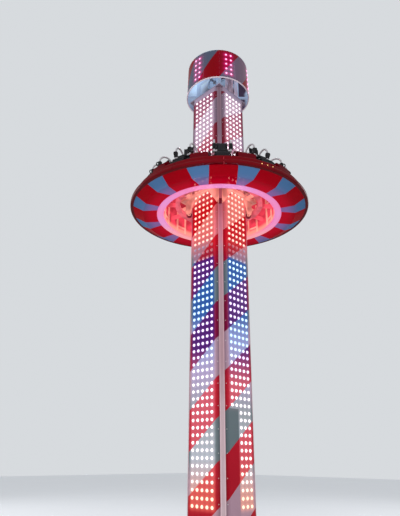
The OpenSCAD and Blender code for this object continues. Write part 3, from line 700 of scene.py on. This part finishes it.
def rod(radius, length, edge=0.002):
    """Rings of a straight bar with broken edges."""
    return [(radius - edge, 0), (radius, edge), (radius, length - edge), (radius - edge, length)]


def as_mesh(bm, name):
    bmesh.ops.recalc_face_normals(bm, faces=bm.faces)
    mesh = bpy.data.meshes.new(name)
    bm.to_mesh(mesh)
    bm.free()
    return mesh


def stamp(bm, mesh, matrix):
    """Adds a copy of mesh to bm, moved by matrix."""
    first = len(bm.verts)
    bm.from_mesh(mesh)
    bm.verts.ensure_lookup_table()
    bmesh.ops.transform(bm, matrix=matrix, verts=bm.verts[first:])


def show(name, mesh, finishes, body, sharp=35):
    """A mesh as an object of the ride, on its body and in its material slot."""
    for finish in finishes:
        mesh.materials.append(finish.material)
    mesh.shade_smooth()
    mesh.set_sharp_from_angle(angle=math.radians(sharp))
    made = bpy.data.objects.new(name, mesh)
    scene.collection.objects.link(made)
    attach(made, body)
    return made


def round_axis(degrees):
    return Matrix.Rotation(math.radians(degrees), 4, "Z")


FACING_OUT = Matrix.Rotation(math.radians(90), 4, "X")        # turns +Z to -Y, out of the front face

# %% [markdown]
# ## Lamps
# Each lamp is a low dome in a dark collar. The tower carries some 1400 of them, so one lamp keeps to a few
# dozen faces and is stamped over each face as a single mesh.

# %% Lamp caps
LAMP_COLLAR = [(0.035, -0.002), (0.035, 0.004), (0.032, 0.006), (0.0302, 0.006)]
LAMP_DOME = [(0.030, 0.004), (0.0292, 0.010), (0.0245, 0.016), (0.014, 0.020), (0.0045, 0.0213)]
lamp = bmesh.new()
turned(lamp, LAMP_COLLAR, 12, capped=False)
turned(lamp, LAMP_DOME, 12, capped=True, tag=1)
lamp_mesh = as_mesh(lamp, "lamp")

collar = painted("lamp_collar", (0.20, 0.18, 0.20), 0.4)


def lens_finish(quarter):
    """A lit lens; its colour follows the show, and its mirror image is kept as bright as a real lamp's."""
    lens = Finish("lamp_lens_%d" % (quarter + 1), (0.12, 0.12, 0.12), 0.3, Emission_Strength=1.0)
    is_red = face_place(lens, quarter)[2]
    mirrored = Wire(lens, lens.node("ShaderNodeLightPath").outputs["Is Glossy Ray"])
    colour = lens.mix(is_red, by_height(lens, LAMP_ON_GREY), by_height(lens, LAMP_ON_RED))
    lens.paint(Emission_Color=lens.scaled(colour, 1.6 + mirrored * 20))
    lens.material.cycles.emission_sampling = "NONE"
    return lens


def tower_lamps(quarter):
    bm = bmesh.new()
    turn_face = round_axis(90 * quarter)
    for column in range(LAMP_COLUMNS):
        for row in range(LAMP_ROWS):
            across = (column - 2) * LAMP_U
            height = LAMP_FIRST + row * LAMP_Z
            if quarter == 1 and height < BLANK_BELOW and column < 2:
                continue
            stamp(bm, lamp_mesh, turn_face @ Matrix.Translation((across, -FACE, height)) @ FACING_OUT)
    return bm


for quarter, side in enumerate(("front", "right", "back", "left")):
    lamps = as_mesh(tower_lamps(quarter), "lamps_" + side)
    piece = show("lamps_" + side, lamps, [collar, lens_finish(quarter)], "tower")
    print(piece.name, len(piece.data.polygons), "faces")

# %% [markdown]
# ## Crown lamps
# The crown wears six pairs of lamp columns in a hot pink. They are the same caps with their own lens.

# %% Crown lamps
CROWN_LAMP_SIZE = 0.75


def on_drum(height):
    """Turns a piece outwards and sets it on the drum's flared wall, at the front."""
    wall = CROWN_R + (CROWN_TOP - height) * CROWN_FLARE
    return Matrix.Translation((0, -wall, height)) @ FACING_OUT


pink_lens = Finish("pink_lamp_lens", (0.4, 0.1, 0.2), 0.3, Emission_Strength=1.0)
pink_lens.paint(Emission_Color=pink_lens.mix(pink_lens.noise(3.0), (1.6, 0.70, 1.25), (1.8, 1.0, 1.5)))
pink_lens.material.cycles.emission_sampling = "NONE"
bm = bmesh.new()
for pair in range(CROWN_PAIRS):
    for side in (-1, 1):
        turn = CROWN_PAIR_FIRST + pair * 360 / CROWN_PAIRS + side * CROWN_PAIR_HALF
        for height in CROWN_ROWS:
            stamp(bm, lamp_mesh, round_axis(turn) @ on_drum(height) @ Matrix.Scale(CROWN_LAMP_SIZE, 4))
show("crown_lamps", as_mesh(bm, "crown_lamps"), [collar, pink_lens], "tower")

# %% [markdown]
# ## Crown joint straps
# The drum is bent from twelve sheets. A thin strap closes each joint from inside, in the drum's own paint,
# so that no light shows through it.

# %% Joint straps
CROWN_SHEETS = 12
CROWN_WALL = 0.005
STRAP_W, STRAP_T, STRAP_GAP = 0.010, 0.0003, 0.0002
strap_low, strap_high = CROWN_LOW + 0.030, CROWN_TOP - 0.006
middle = (strap_low + strap_high) / 2
inner_r = CROWN_R - CROWN_WALL + (CROWN_TOP - middle) * CROWN_FLARE
lean = Matrix.Rotation(-math.atan(CROWN_FLARE), 4, "X")
upright = Matrix.Translation((0, STRAP_GAP + STRAP_T / 2 - inner_r, middle)) @ lean
sizes = Matrix.Diagonal((STRAP_W, STRAP_T, strap_high - strap_low, 1))
bm = bmesh.new()
for sheet in range(CROWN_SHEETS):
    made = bmesh.ops.create_cube(bm, size=1, matrix=sizes)
    turn = round_axis((sheet + 0.5) * 360 / CROWN_SHEETS)
    bmesh.ops.transform(bm, matrix=turn @ upright, verts=made["verts"])
show("crown_joint_straps", as_mesh(bm, "crown_joint_straps"), [crown], "tower")
print("joint straps", CROWN_SHEETS)

# %% [markdown]
# ## Head wires
# A curtain of thin wires hangs taut between the cap and the top frame, on the drum's darker side. Each is
# one turned rod, and small steps in place and lean keep the row from looking ruled.

# %% Taut wires
WIRE_COUNT, WIRE_R = 14, 0.007
FIRST_WIRE, WIRE_SPAN = -0.24, 0.46          # along the frame's right side
frame_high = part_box("top_frame")[1]
cap_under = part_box("crown_cap")[0].z
wires = bmesh.new()
for k in range(WIRE_COUNT):
    across = FIRST_WIRE + WIRE_SPAN * k / (WIRE_COUNT - 1) + 0.008 * math.sin(5.1 * k)
    foot = Vector((frame_high.x - 0.03, across, frame_high.z - 0.001))
    out, along = 0.02 + 0.03 * math.sin(2.3 * k), 0.03 * math.sin(3.7 * k)
    top = Vector((frame_high.x + out, across + along, cap_under + 0.001))
    lean = (top - foot).to_track_quat("Z", "Y").to_matrix().to_4x4()
    turned(wires, rod(WIRE_R, (top - foot).length, 0.001), 8, Matrix.Translation(foot) @ lean)
# The wires carry a faint painted glow, so that they show pale in the drum's shade.
wire_paint = painted("pale_wire", tone(165, 140, 150), 0.4, Emission_Color=(*tone(130, 108, 118), 1),
                     Emission_Strength=0.8)
show("head_wires", as_mesh(wires, "head_wires"), [wire_paint], "tower")
print("wires", WIRE_COUNT)

# %% [markdown]
# ## Bolts and rivets
# Fasteners give the eye a scale. A hex bolt is a six-sided prism with a washer under it, a rivet a shallow
# dome, and both are stamped wherever two sheets or a foot and the floor meet.


# %% Fasteners
def hex_bolt(across):
    bm = bmesh.new()
    turned(bm, [(across * 1.0, 0), (across * 1.0, across * 0.12)], 16)
    turned(bm, [(across * 0.577, across * 0.12), (across * 0.577, across * 0.66),
                (across * 0.48, across * 0.76)], 6)
    turned(bm, [(across * 0.28, across * 0.76), (across * 0.28, across * 1.0),
                (across * 0.2, across * 1.08)], 10)
    return as_mesh(bm, "hex_bolt")


def rivet(size):
    bm = bmesh.new()
    rings = [(1, 0), (0.92, 0.3), (0.6, 0.55), (0.15, 0.62)]
    turned(bm, [(size * r, size * z) for r, z in rings], 8)
    return as_mesh(bm, "rivet")


anchor, plate_bolt, screw, small = hex_bolt(0.036), hex_bolt(0.024), rivet(0.008), rivet(0.006)
bm = bmesh.new()
foot_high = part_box("foot_plates")[1]
ANCHOR_HALF = 0.16
FOOT_HALF = 0.21
foot_middle = foot_high.x - FOOT_HALF
for turn in range(0, 360, 90):
    for across in (-1, 1):
        for out in (-1, 1):
            place = Matrix.Translation((foot_middle + out * ANCHOR_HALF, across * ANCHOR_HALF, foot_high.z))
            stamp(bm, anchor, round_axis(turn) @ place)
plate_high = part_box("base_plate")[1]
for turn in range(0, 360, 90):
    for across in (-0.42, -0.25, 0.25, 0.42):
        place = Matrix.Translation((plate_high.x - 0.022, across, plate_high.z))
        stamp(bm, plate_bolt, round_axis(turn) @ place)
show("base_bolts", as_mesh(bm, "base_bolts"), [bright_bolt], "tower")

bm = bmesh.new()
SCREWS, FIRST_SCREW, SCREW_STEP = 24, 0.5, 0.4
FOLD_HALF = 0.35                             # half of a face's flat part
FLANGE_MIDDLE = 0.0207                       # along and into the 45 degree flange
for quarter in range(4):
    for side in (-1, 1):
        for step in range(SCREWS):
            height = FIRST_SCREW + step * SCREW_STEP
            place = Matrix.Translation((side * (FOLD_HALF + FLANGE_MIDDLE), FLANGE_MIDDLE - FACE, height))
            stamp(bm, screw, round_axis(90 * quarter) @ place @ round_axis(45 * side) @ FACING_OUT)
show("panel_screws", as_mesh(bm, "panel_screws"), [bright_bolt], "tower")

bm = bmesh.new()
RIVET_STEP = 5                                # degrees
for turn in range(0, 360, RIVET_STEP):
    for height in (CROWN_LOW + 0.05, CROWN_TOP - 0.03):
        stamp(bm, small, round_axis(turn) @ on_drum(height))
rivets = show("crown_rivets", as_mesh(bm, "crown_rivets"), [bright_bolt], "tower")
print("fasteners: rivets have", len(rivets.data.polygons), "faces")

# %% [markdown]
# ## Seats
# Each seat is one moulded shell. It starts as a single vertex at the top of the back, which is pushed down,
# spun round the corner to the pan, pushed forward and spun over the front lip. That line is then swept
# sideways, its rims are raised as bolsters, and Solidify gives the shell its thickness.

# %% Seat shell
back_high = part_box("seat_backs")[1]
BACK_X = 1.352                               # rear skin of the shell, from the ride's axis
FRONT_X = RIM_R - 0.183
PAN_Z = DECK + 0.085
TOP_Z = back_high.z - 0.006
NECK_Z = DECK + 0.42
CORNER_R, LIP_R = 0.06, 0.03


def only(kind, found):
    return [g for g in found if isinstance(g, kind)]


def pull(bm, verts, move):
    """Extrudes loose vertices along move and returns the new ones."""
    out = bmesh.ops.extrude_vert_indiv(bm, verts=verts)
    bmesh.ops.translate(bm, vec=move, verts=out["verts"])
    return out["verts"]


def seat_shell():
    bm = bmesh.new()
    tip = [bm.verts.new((BACK_X, 0, TOP_Z))]
    for length in (0.07, 0.07, 0.07, 0.07, 0.1, 0.1, TOP_Z - PAN_Z - CORNER_R - 0.48):
        tip = pull(bm, tip, (0, 0, -length))
    out = bmesh.ops.spin(bm, geom=tip, cent=(BACK_X + CORNER_R, 0, PAN_Z + CORNER_R), axis=(0, 1, 0),
                         dvec=(0, 0, 0), angle=math.radians(-90), steps=4)
    tip = only(bmesh.types.BMVert, out["geom_last"])
    for _ in range(4):
        tip = pull(bm, tip, ((FRONT_X - LIP_R - BACK_X - CORNER_R) / 4, 0, 0))
    out = bmesh.ops.spin(bm, geom=tip, cent=(FRONT_X - LIP_R, 0, PAN_Z - LIP_R), axis=(0, 1, 0),
                         dvec=(0, 0, 0), angle=math.radians(90), steps=3)
    tip = pull(bm, only(bmesh.types.BMVert, out["geom_last"]), (0, 0, -0.03))
    for side in (-1, 1):
        edges = [e for e in bm.edges if all(abs(v.co.y) < 1e-5 for v in e.verts)]
        for width in (0.06, 0.05, 0.035):
            out = bmesh.ops.extrude_edge_only(bm, edges=edges)
            edges = only(bmesh.types.BMEdge, out["geom"])
            bmesh.ops.translate(bm, vec=(0, side * width, 0), verts=only(bmesh.types.BMVert, out["geom"]))
        for rise, spread in ((0.022, 0.014), (0.014, 0.004)):
            out = bmesh.ops.extrude_edge_only(bm, edges=edges)
            edges = only(bmesh.types.BMEdge, out["geom"])
            for v in only(bmesh.types.BMVert, out["geom"]):
                upright = v.co.z > PAN_Z + CORNER_R * 0.6
                v.co += Vector((rise if upright else 0, side * spread, 0 if upright else rise))
    for v in bm.verts:
        if v.co.z > NECK_Z:
            narrow = min(1, (v.co.z - NECK_Z) / 0.05)
            v.co.y *= 1 - 0.30 * narrow
    return bm


shell_mesh = as_mesh(seat_shell(), "seat_shell")
for k, turn in enumerate(seat_angles):
    mesh = shell_mesh.copy()
    mesh.transform(round_axis(turn))
    shell = show("seat_shell_%02d" % (k + 1), mesh, [black_shell], "gondola")
    wall = shell.modifiers.new("wall", "SOLIDIFY")
    wall.thickness = 0.010
    wall.offset = 0
    smooth = shell.modifiers.new("smooth", "SUBSURF")
    smooth.levels = smooth.render_levels = 1
    if k == 0:
        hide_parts("seat_backs", "seat_pans")
print("seat shell", len(shell_mesh.polygons), "faces before thickness")

# %% [markdown]
# ## Upholstery
# A cushion is foam in a tight cover: it bulges between its seams and pulls in at the corners. Blowing up a
# slightly small block with the Cloth solver gives that form. The block is remeshed evenly, inflated for 20
# frames, and no point may travel further than a cap.


# %% Inflated cushions
def block(size, middle, bevel):
    """A box with rounded edges."""
    bm = bmesh.new()
    bmesh.ops.create_cube(bm, size=1)
    bmesh.ops.scale(bm, vec=size, verts=bm.verts)
    bmesh.ops.bevel(bm, geom=bm.edges, offset=bevel, segments=3, profile=0.5, affect="EDGES", material=-1)
    bmesh.ops.translate(bm, vec=middle, verts=bm.verts)
    return bm


def settled(piece):
    """The piece's mesh with its modifiers applied."""
    seen = piece.evaluated_get(bpy.context.evaluated_depsgraph_get())
    return bpy.data.meshes.new_from_object(seen)


def inflate(bm, voxel, cap, pressure=4.0):
    start = bpy.data.meshes.new("foam")
    bmesh.ops.recalc_face_normals(bm, faces=bm.faces)
    bm.to_mesh(start)
    bm.free()
    foam = bpy.data.objects.new("foam", start)
    scene.collection.objects.link(foam)
    even = foam.modifiers.new("even", "REMESH")
    even.mode = "VOXEL"
    even.voxel_size = voxel
    foam.data = settled(foam)
    foam.modifiers.clear()
    before = [v.co.copy() for v in foam.data.vertices]
    cloth = foam.modifiers.new("cloth", "CLOTH")
    cloth.settings.use_pressure = True
    cloth.settings.uniform_pressure_force = pressure
    cloth.settings.effector_weights.gravity = 0
    for frame_number in range(1, 21):
        scene.frame_set(frame_number)
    foam.data = settled(foam)
    foam.modifiers.clear()
    scene.frame_set(1)
    for v, old in zip(foam.data.vertices, before):
        move = v.co - old
        if move.length > cap:
            v.co = old + move.normalized() * cap
    mesh = foam.data
    bpy.data.objects.remove(foam)
    return mesh


# %% [markdown]
# The covers are black vinyl. Its grain is a field of small cells, and its folds a slower noise.

# %% Vinyl finish
vinyl = Finish("black_vinyl", (0.016, 0.016, 0.018), 0.48, Specular_IOR_Level=0.08)
grain = vinyl.cells(420.0)
fold = vinyl.noise(11.0, 4.0)
vinyl.paint(Base_Color=vinyl.mix(fold, (0.011, 0.011, 0.012), (0.026, 0.025, 0.028)),
            Roughness=0.42 + grain * 0.25)
vinyl.bump(grain * 0.6 + fold * 1.2, 0.0009)

foam_skin = Finish("black_integral_foam", (0.016, 0.016, 0.018), 0.6, Specular_IOR_Level=0.08)
pores = foam_skin.cells(300.0)
foam_skin.paint(Base_Color=foam_skin.mix(foam_skin.noise(8.0), (0.011, 0.011, 0.012), (0.025, 0.025, 0.027)),
                Roughness=0.52 + pores * 0.2)
foam_skin.bump(pores, 0.0006)

# %% [markdown]
# Sewn channels are pressed in after the inflation: every point near a channel's line sinks towards the
# shell by a bell-shaped amount, so the channel has soft shoulders.


# %% Seat cushions
def press(mesh, lines, axis, width, depth, into):
    """Sinks channels at the given places along an axis, towards the vector into."""
    for v in mesh.vertices:
        if v.normal.dot(into) < -0.35:
            for line in lines:
                v.co += into * depth * math.exp(-((v.co[axis] - line) / width) ** 2)


CUSHION_VOXEL = 0.0105
CUSHION_CAP = 0.014
pan_foam = block((0.400, 0.285, 0.058), (1.625, 0, PAN_Z + 0.040), 0.016)
pan_mesh = inflate(pan_foam, CUSHION_VOXEL, CUSHION_CAP)
press(pan_mesh, (-0.075, 0.075), 1, 0.008, 0.010, Vector((0, 0, -1)))
back_foam = block((0.040, 0.270, 0.240), (1.384, 0, DECK + 0.300), 0.014)
back_mesh = inflate(back_foam, CUSHION_VOXEL, CUSHION_CAP)
press(back_mesh, (DECK + 0.235, DECK + 0.30, DECK + 0.365), 2, 0.008, 0.008, Vector((-1, 0, 0)))
rest_mesh = inflate(block((0.034, 0.200, 0.190), (1.382, 0, DECK + 0.555), 0.012), 0.009, 0.010)
press(rest_mesh, (DECK + 0.555,), 2, 0.007, 0.006, Vector((-1, 0, 0)))
for k, turn in enumerate(seat_angles):
    for name, source, fill in (("seat_cushion", pan_mesh, 0.7), ("back_cushion", back_mesh, 0.7),
                               ("head_cushion", rest_mesh, 0.8)):
        mesh = source.copy()
        mesh.transform(round_axis(turn))
        pad = show("%s_%02d" % (name, k + 1), mesh, [vinyl], "gondola", 60)
print("cushion faces", len(pan_mesh.polygons), len(back_mesh.polygons), len(rest_mesh.polygons))

# %% [markdown]
# ## Restraints
# Two bent tubes come over the rider's shoulders from a shaft behind the seat. A circle spun through half a
# turn and pushed down makes each tube. The foam sleeves are built up ring by ring, with shallow grooves,
# and slide over them.

# %% Restraint sizes
PIVOT = Vector((1.32, 0, DECK + 0.48))
SHOULDER_R = 0.15
TUBE_R = 0.019
ARM_Y = 0.17
FRONT_X_TUBE = PIVOT.x + 2 * SHOULDER_R
LAP_Z = PIVOT.z - 0.18
ALONG_Y = Matrix.Rotation(math.radians(90), 4, "X")


def bent_arm(bm, side):
    made = bmesh.ops.create_circle(bm, cap_ends=False, segments=16, radius=TUBE_R,
                                   matrix=Matrix.Translation((PIVOT.x, side * ARM_Y, PIVOT.z - 0.02)))
    edges = list({e for v in made["verts"] for e in v.link_edges})
    bmesh.ops.edgeloop_fill(bm, edges=edges)
    out = bmesh.ops.extrude_edge_only(bm, edges=edges)
    bmesh.ops.translate(bm, vec=(0, 0, 0.02), verts=only(bmesh.types.BMVert, out["geom"]))
    edges = only(bmesh.types.BMEdge, out["geom"])
    out = bmesh.ops.spin(bm, geom=edges, cent=(PIVOT.x + SHOULDER_R, side * ARM_Y, PIVOT.z), axis=(0, 1, 0),
                         dvec=(0, 0, 0), angle=math.radians(180), steps=20)
    edges = only(bmesh.types.BMEdge, out["geom_last"])
    out = bmesh.ops.extrude_edge_only(bm, edges=edges)
    bmesh.ops.translate(bm, vec=(0, 0, LAP_Z - PIVOT.z), verts=only(bmesh.types.BMVert, out["geom"]))
    bmesh.ops.edgeloop_fill(bm, edges=only(bmesh.types.BMEdge, out["geom"]))


def crosswise(x, z, length):
    """Places a turned piece along Y, centred on the seat."""
    return Matrix.Translation((x, length / 2, z)) @ ALONG_Y


def grooved(radius, length, grooves, depth=0.004, end=0.012):
    """A sleeve's rings: rounded ends and grooves across it."""
    rings = [(radius * 0.62, 0), (radius * 0.86, end * 0.25), (radius, end)]
    for g in range(grooves):
        middle = end + (length - 2 * end) * (g + 1) / (grooves + 1)
        rings += [(radius, middle - 0.007), (radius - depth, middle - 0.002),
                  (radius - depth, middle + 0.002), (radius, middle + 0.007)]
    return rings + [(radius, length - end), (radius * 0.86, length - end * 0.25), (radius * 0.62, length)]


# %% [markdown]
# The steel is the two arms, a bar that joins them at the lap, and a bare shaft with a hub for each arm. A
# grip is a circle spun through half a turn, so that it stands out from its arm as a loop for the hand.

# %% Restraint steel and grips
LAP_BAR_L, SHAFT_L, HUB_L = 0.378, 0.41, 0.03
steel = bmesh.new()
for side in (-1, 1):
    bent_arm(steel, side)
turned(steel, rod(TUBE_R, LAP_BAR_L), 16, crosswise(FRONT_X_TUBE, LAP_Z, LAP_BAR_L))
turned(steel, rod(0.016, SHAFT_L), 16, crosswise(PIVOT.x, PIVOT.z, SHAFT_L), tag=1)
for side in (-1, 1):
    place = Matrix.Translation((PIVOT.x, side * ARM_Y + HUB_L / 2, PIVOT.z))
    turned(steel, rod(0.026, HUB_L), 16, place @ ALONG_Y, tag=1)
steel_mesh = as_mesh(steel, "restraint_steel")

GRIP_R, GRIP_TUBE = 0.048, 0.011
GRIP_X = FRONT_X_TUBE + 0.031
GRIP_Z = PIVOT.z - 0.09
grips = bmesh.new()
for side in (-1, 1):
    low_end = Matrix.Translation((GRIP_X, side * ARM_Y, GRIP_Z - GRIP_R))
    start = low_end @ Matrix.Rotation(math.radians(90), 4, "Y")
    made = bmesh.ops.create_circle(grips, cap_ends=False, segments=12, radius=GRIP_TUBE, matrix=start)
    edges = list({e for v in made["verts"] for e in v.link_edges})
    bmesh.ops.spin(grips, geom=edges, cent=(GRIP_X, side * ARM_Y, GRIP_Z), axis=(0, 1, 0),
                   dvec=(0, 0, 0), angle=math.radians(-180), steps=12)
grip_mesh = as_mesh(grips, "grips")

# %% [markdown]
# Foam sleeves cover the arms at the chest and the bar at the lap, a little fuller towards the rider. One
# restraint is modelled, then copied and turned to each seat, where its three pieces ride on that seat's own
# hinge.

# %% Restraint foam
foam = bmesh.new()
CHEST_L, CHEST_R = 0.135, 0.041
LAP_L, LAP_R = 0.22, 0.034
for side in (-1, 1):
    place = Matrix.Translation((FRONT_X_TUBE, side * ARM_Y, LAP_Z + 0.030))
    verts = turned(foam, grooved(CHEST_R, CHEST_L, 4), 20, place)
    for v in verts:                           # fuller towards the rider
        v.co.x -= 0.010 * max(0, (FRONT_X_TUBE - v.co.x) / CHEST_R)
turned(foam, grooved(LAP_R, LAP_L, 5), 20, crosswise(FRONT_X_TUBE, LAP_Z, LAP_L))
foam_mesh = as_mesh(foam, "restraint_foam")

for k, turn in enumerate(seat_angles):
    body = "restraint_%02d" % (k + 1)
    number = "_%02d" % (k + 1)
    made = []
    for name, source, finishes, slot in (("restraint_arms", steel_mesh, [arm_paint, machined], "bare_steel"),
                                         ("restraint_grips", grip_mesh, [black_grip], "restraint_black"),
                                         ("restraint_pads", foam_mesh, [foam_skin], "restraint_black")):
        mesh = source.copy()
        mesh.transform(round_axis(turn))
        made.append(show(name + number, mesh, finishes, body, 40))
    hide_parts(body)
print("restraint faces", len(steel_mesh.polygons), len(grip_mesh.polygons), len(foam_mesh.polygons))

# %% [markdown]
# ## Rim markers
# Small gold lamps stand in threes on the ledge of the rim moulding, beside the seats where riders board.
# They are turned pieces again, a steel cup and a tall lens, high enough to show over the ledge's rounded
# edge.

# %% Gold marker lamps
gold = Finish("gold_marker_lens", (0.8, 0.5, 0.1), 0.2, Emission_Strength=2.2)
gold.paint(Emission_Color=gold.mix(gold.noise(5.0), (1.0, 0.50, 0.14), (1.0, 0.68, 0.32)))
LEDGE_R, LEDGE_Z = RIM_R - 0.046, DECK - 0.161
MARKED_SEATS = (2, 3, 8, 9)
marker = bmesh.new()
turned(marker, [(0.013, 0), (0.013, 0.010), (0.0105, 0.013)], 12)
turned(marker, [(0.010, 0.011), (0.010, 0.024), (0.0075, 0.030), (0.0025, 0.032)], 12, tag=1)
marker_mesh = as_mesh(marker, "marker")
bm = bmesh.new()
for seat in MARKED_SEATS:
    for step in range(3):
        angle = seat_angles[seat] - 90 - step * 3.75
        stamp(bm, marker_mesh, round_axis(angle) @ Matrix.Translation((LEDGE_R, 0, LEDGE_Z)))
show("rim_markers", as_mesh(bm, "rim_markers"), [bright_bolt, gold], "gondola")

# %% [markdown]
# ## Floor
# The floor is one large pale sheet that catches the ride's shadow. What the camera and mirrors see of it is
# lifted towards the backdrop's tone, so that the two meet without a hard line, while the ride gets no light
# from that.

# %% Studio floor
ground = Finish("pale_floor", (0.50, 0.51, 0.53), 0.8, Emission_Strength=1.0)
rays = ground.node("ShaderNodeLightPath")
seen_by = ("Is Camera Ray", "Is Glossy Ray", "Is Transmission Ray")
in_view = [Wire(ground, rays.outputs[kind]) for kind in seen_by]
lift = in_view[0].atleast(in_view[1]).atleast(in_view[2]) * 0.46
ground.paint(Base_Color=ground.mix(ground.noise(0.6), (0.47, 0.48, 0.50), (0.51, 0.52, 0.54)),
             Emission_Color=ground.scaled(BACKDROP[:3], lift))
bm = bmesh.new()
bmesh.ops.create_grid(bm, x_segments=1, y_segments=1, size=40)
mesh = as_mesh(bm, "floor")
mesh.materials.append(ground.material)
floor = bpy.data.objects.new("floor", mesh)
scene.collection.objects.link(floor)
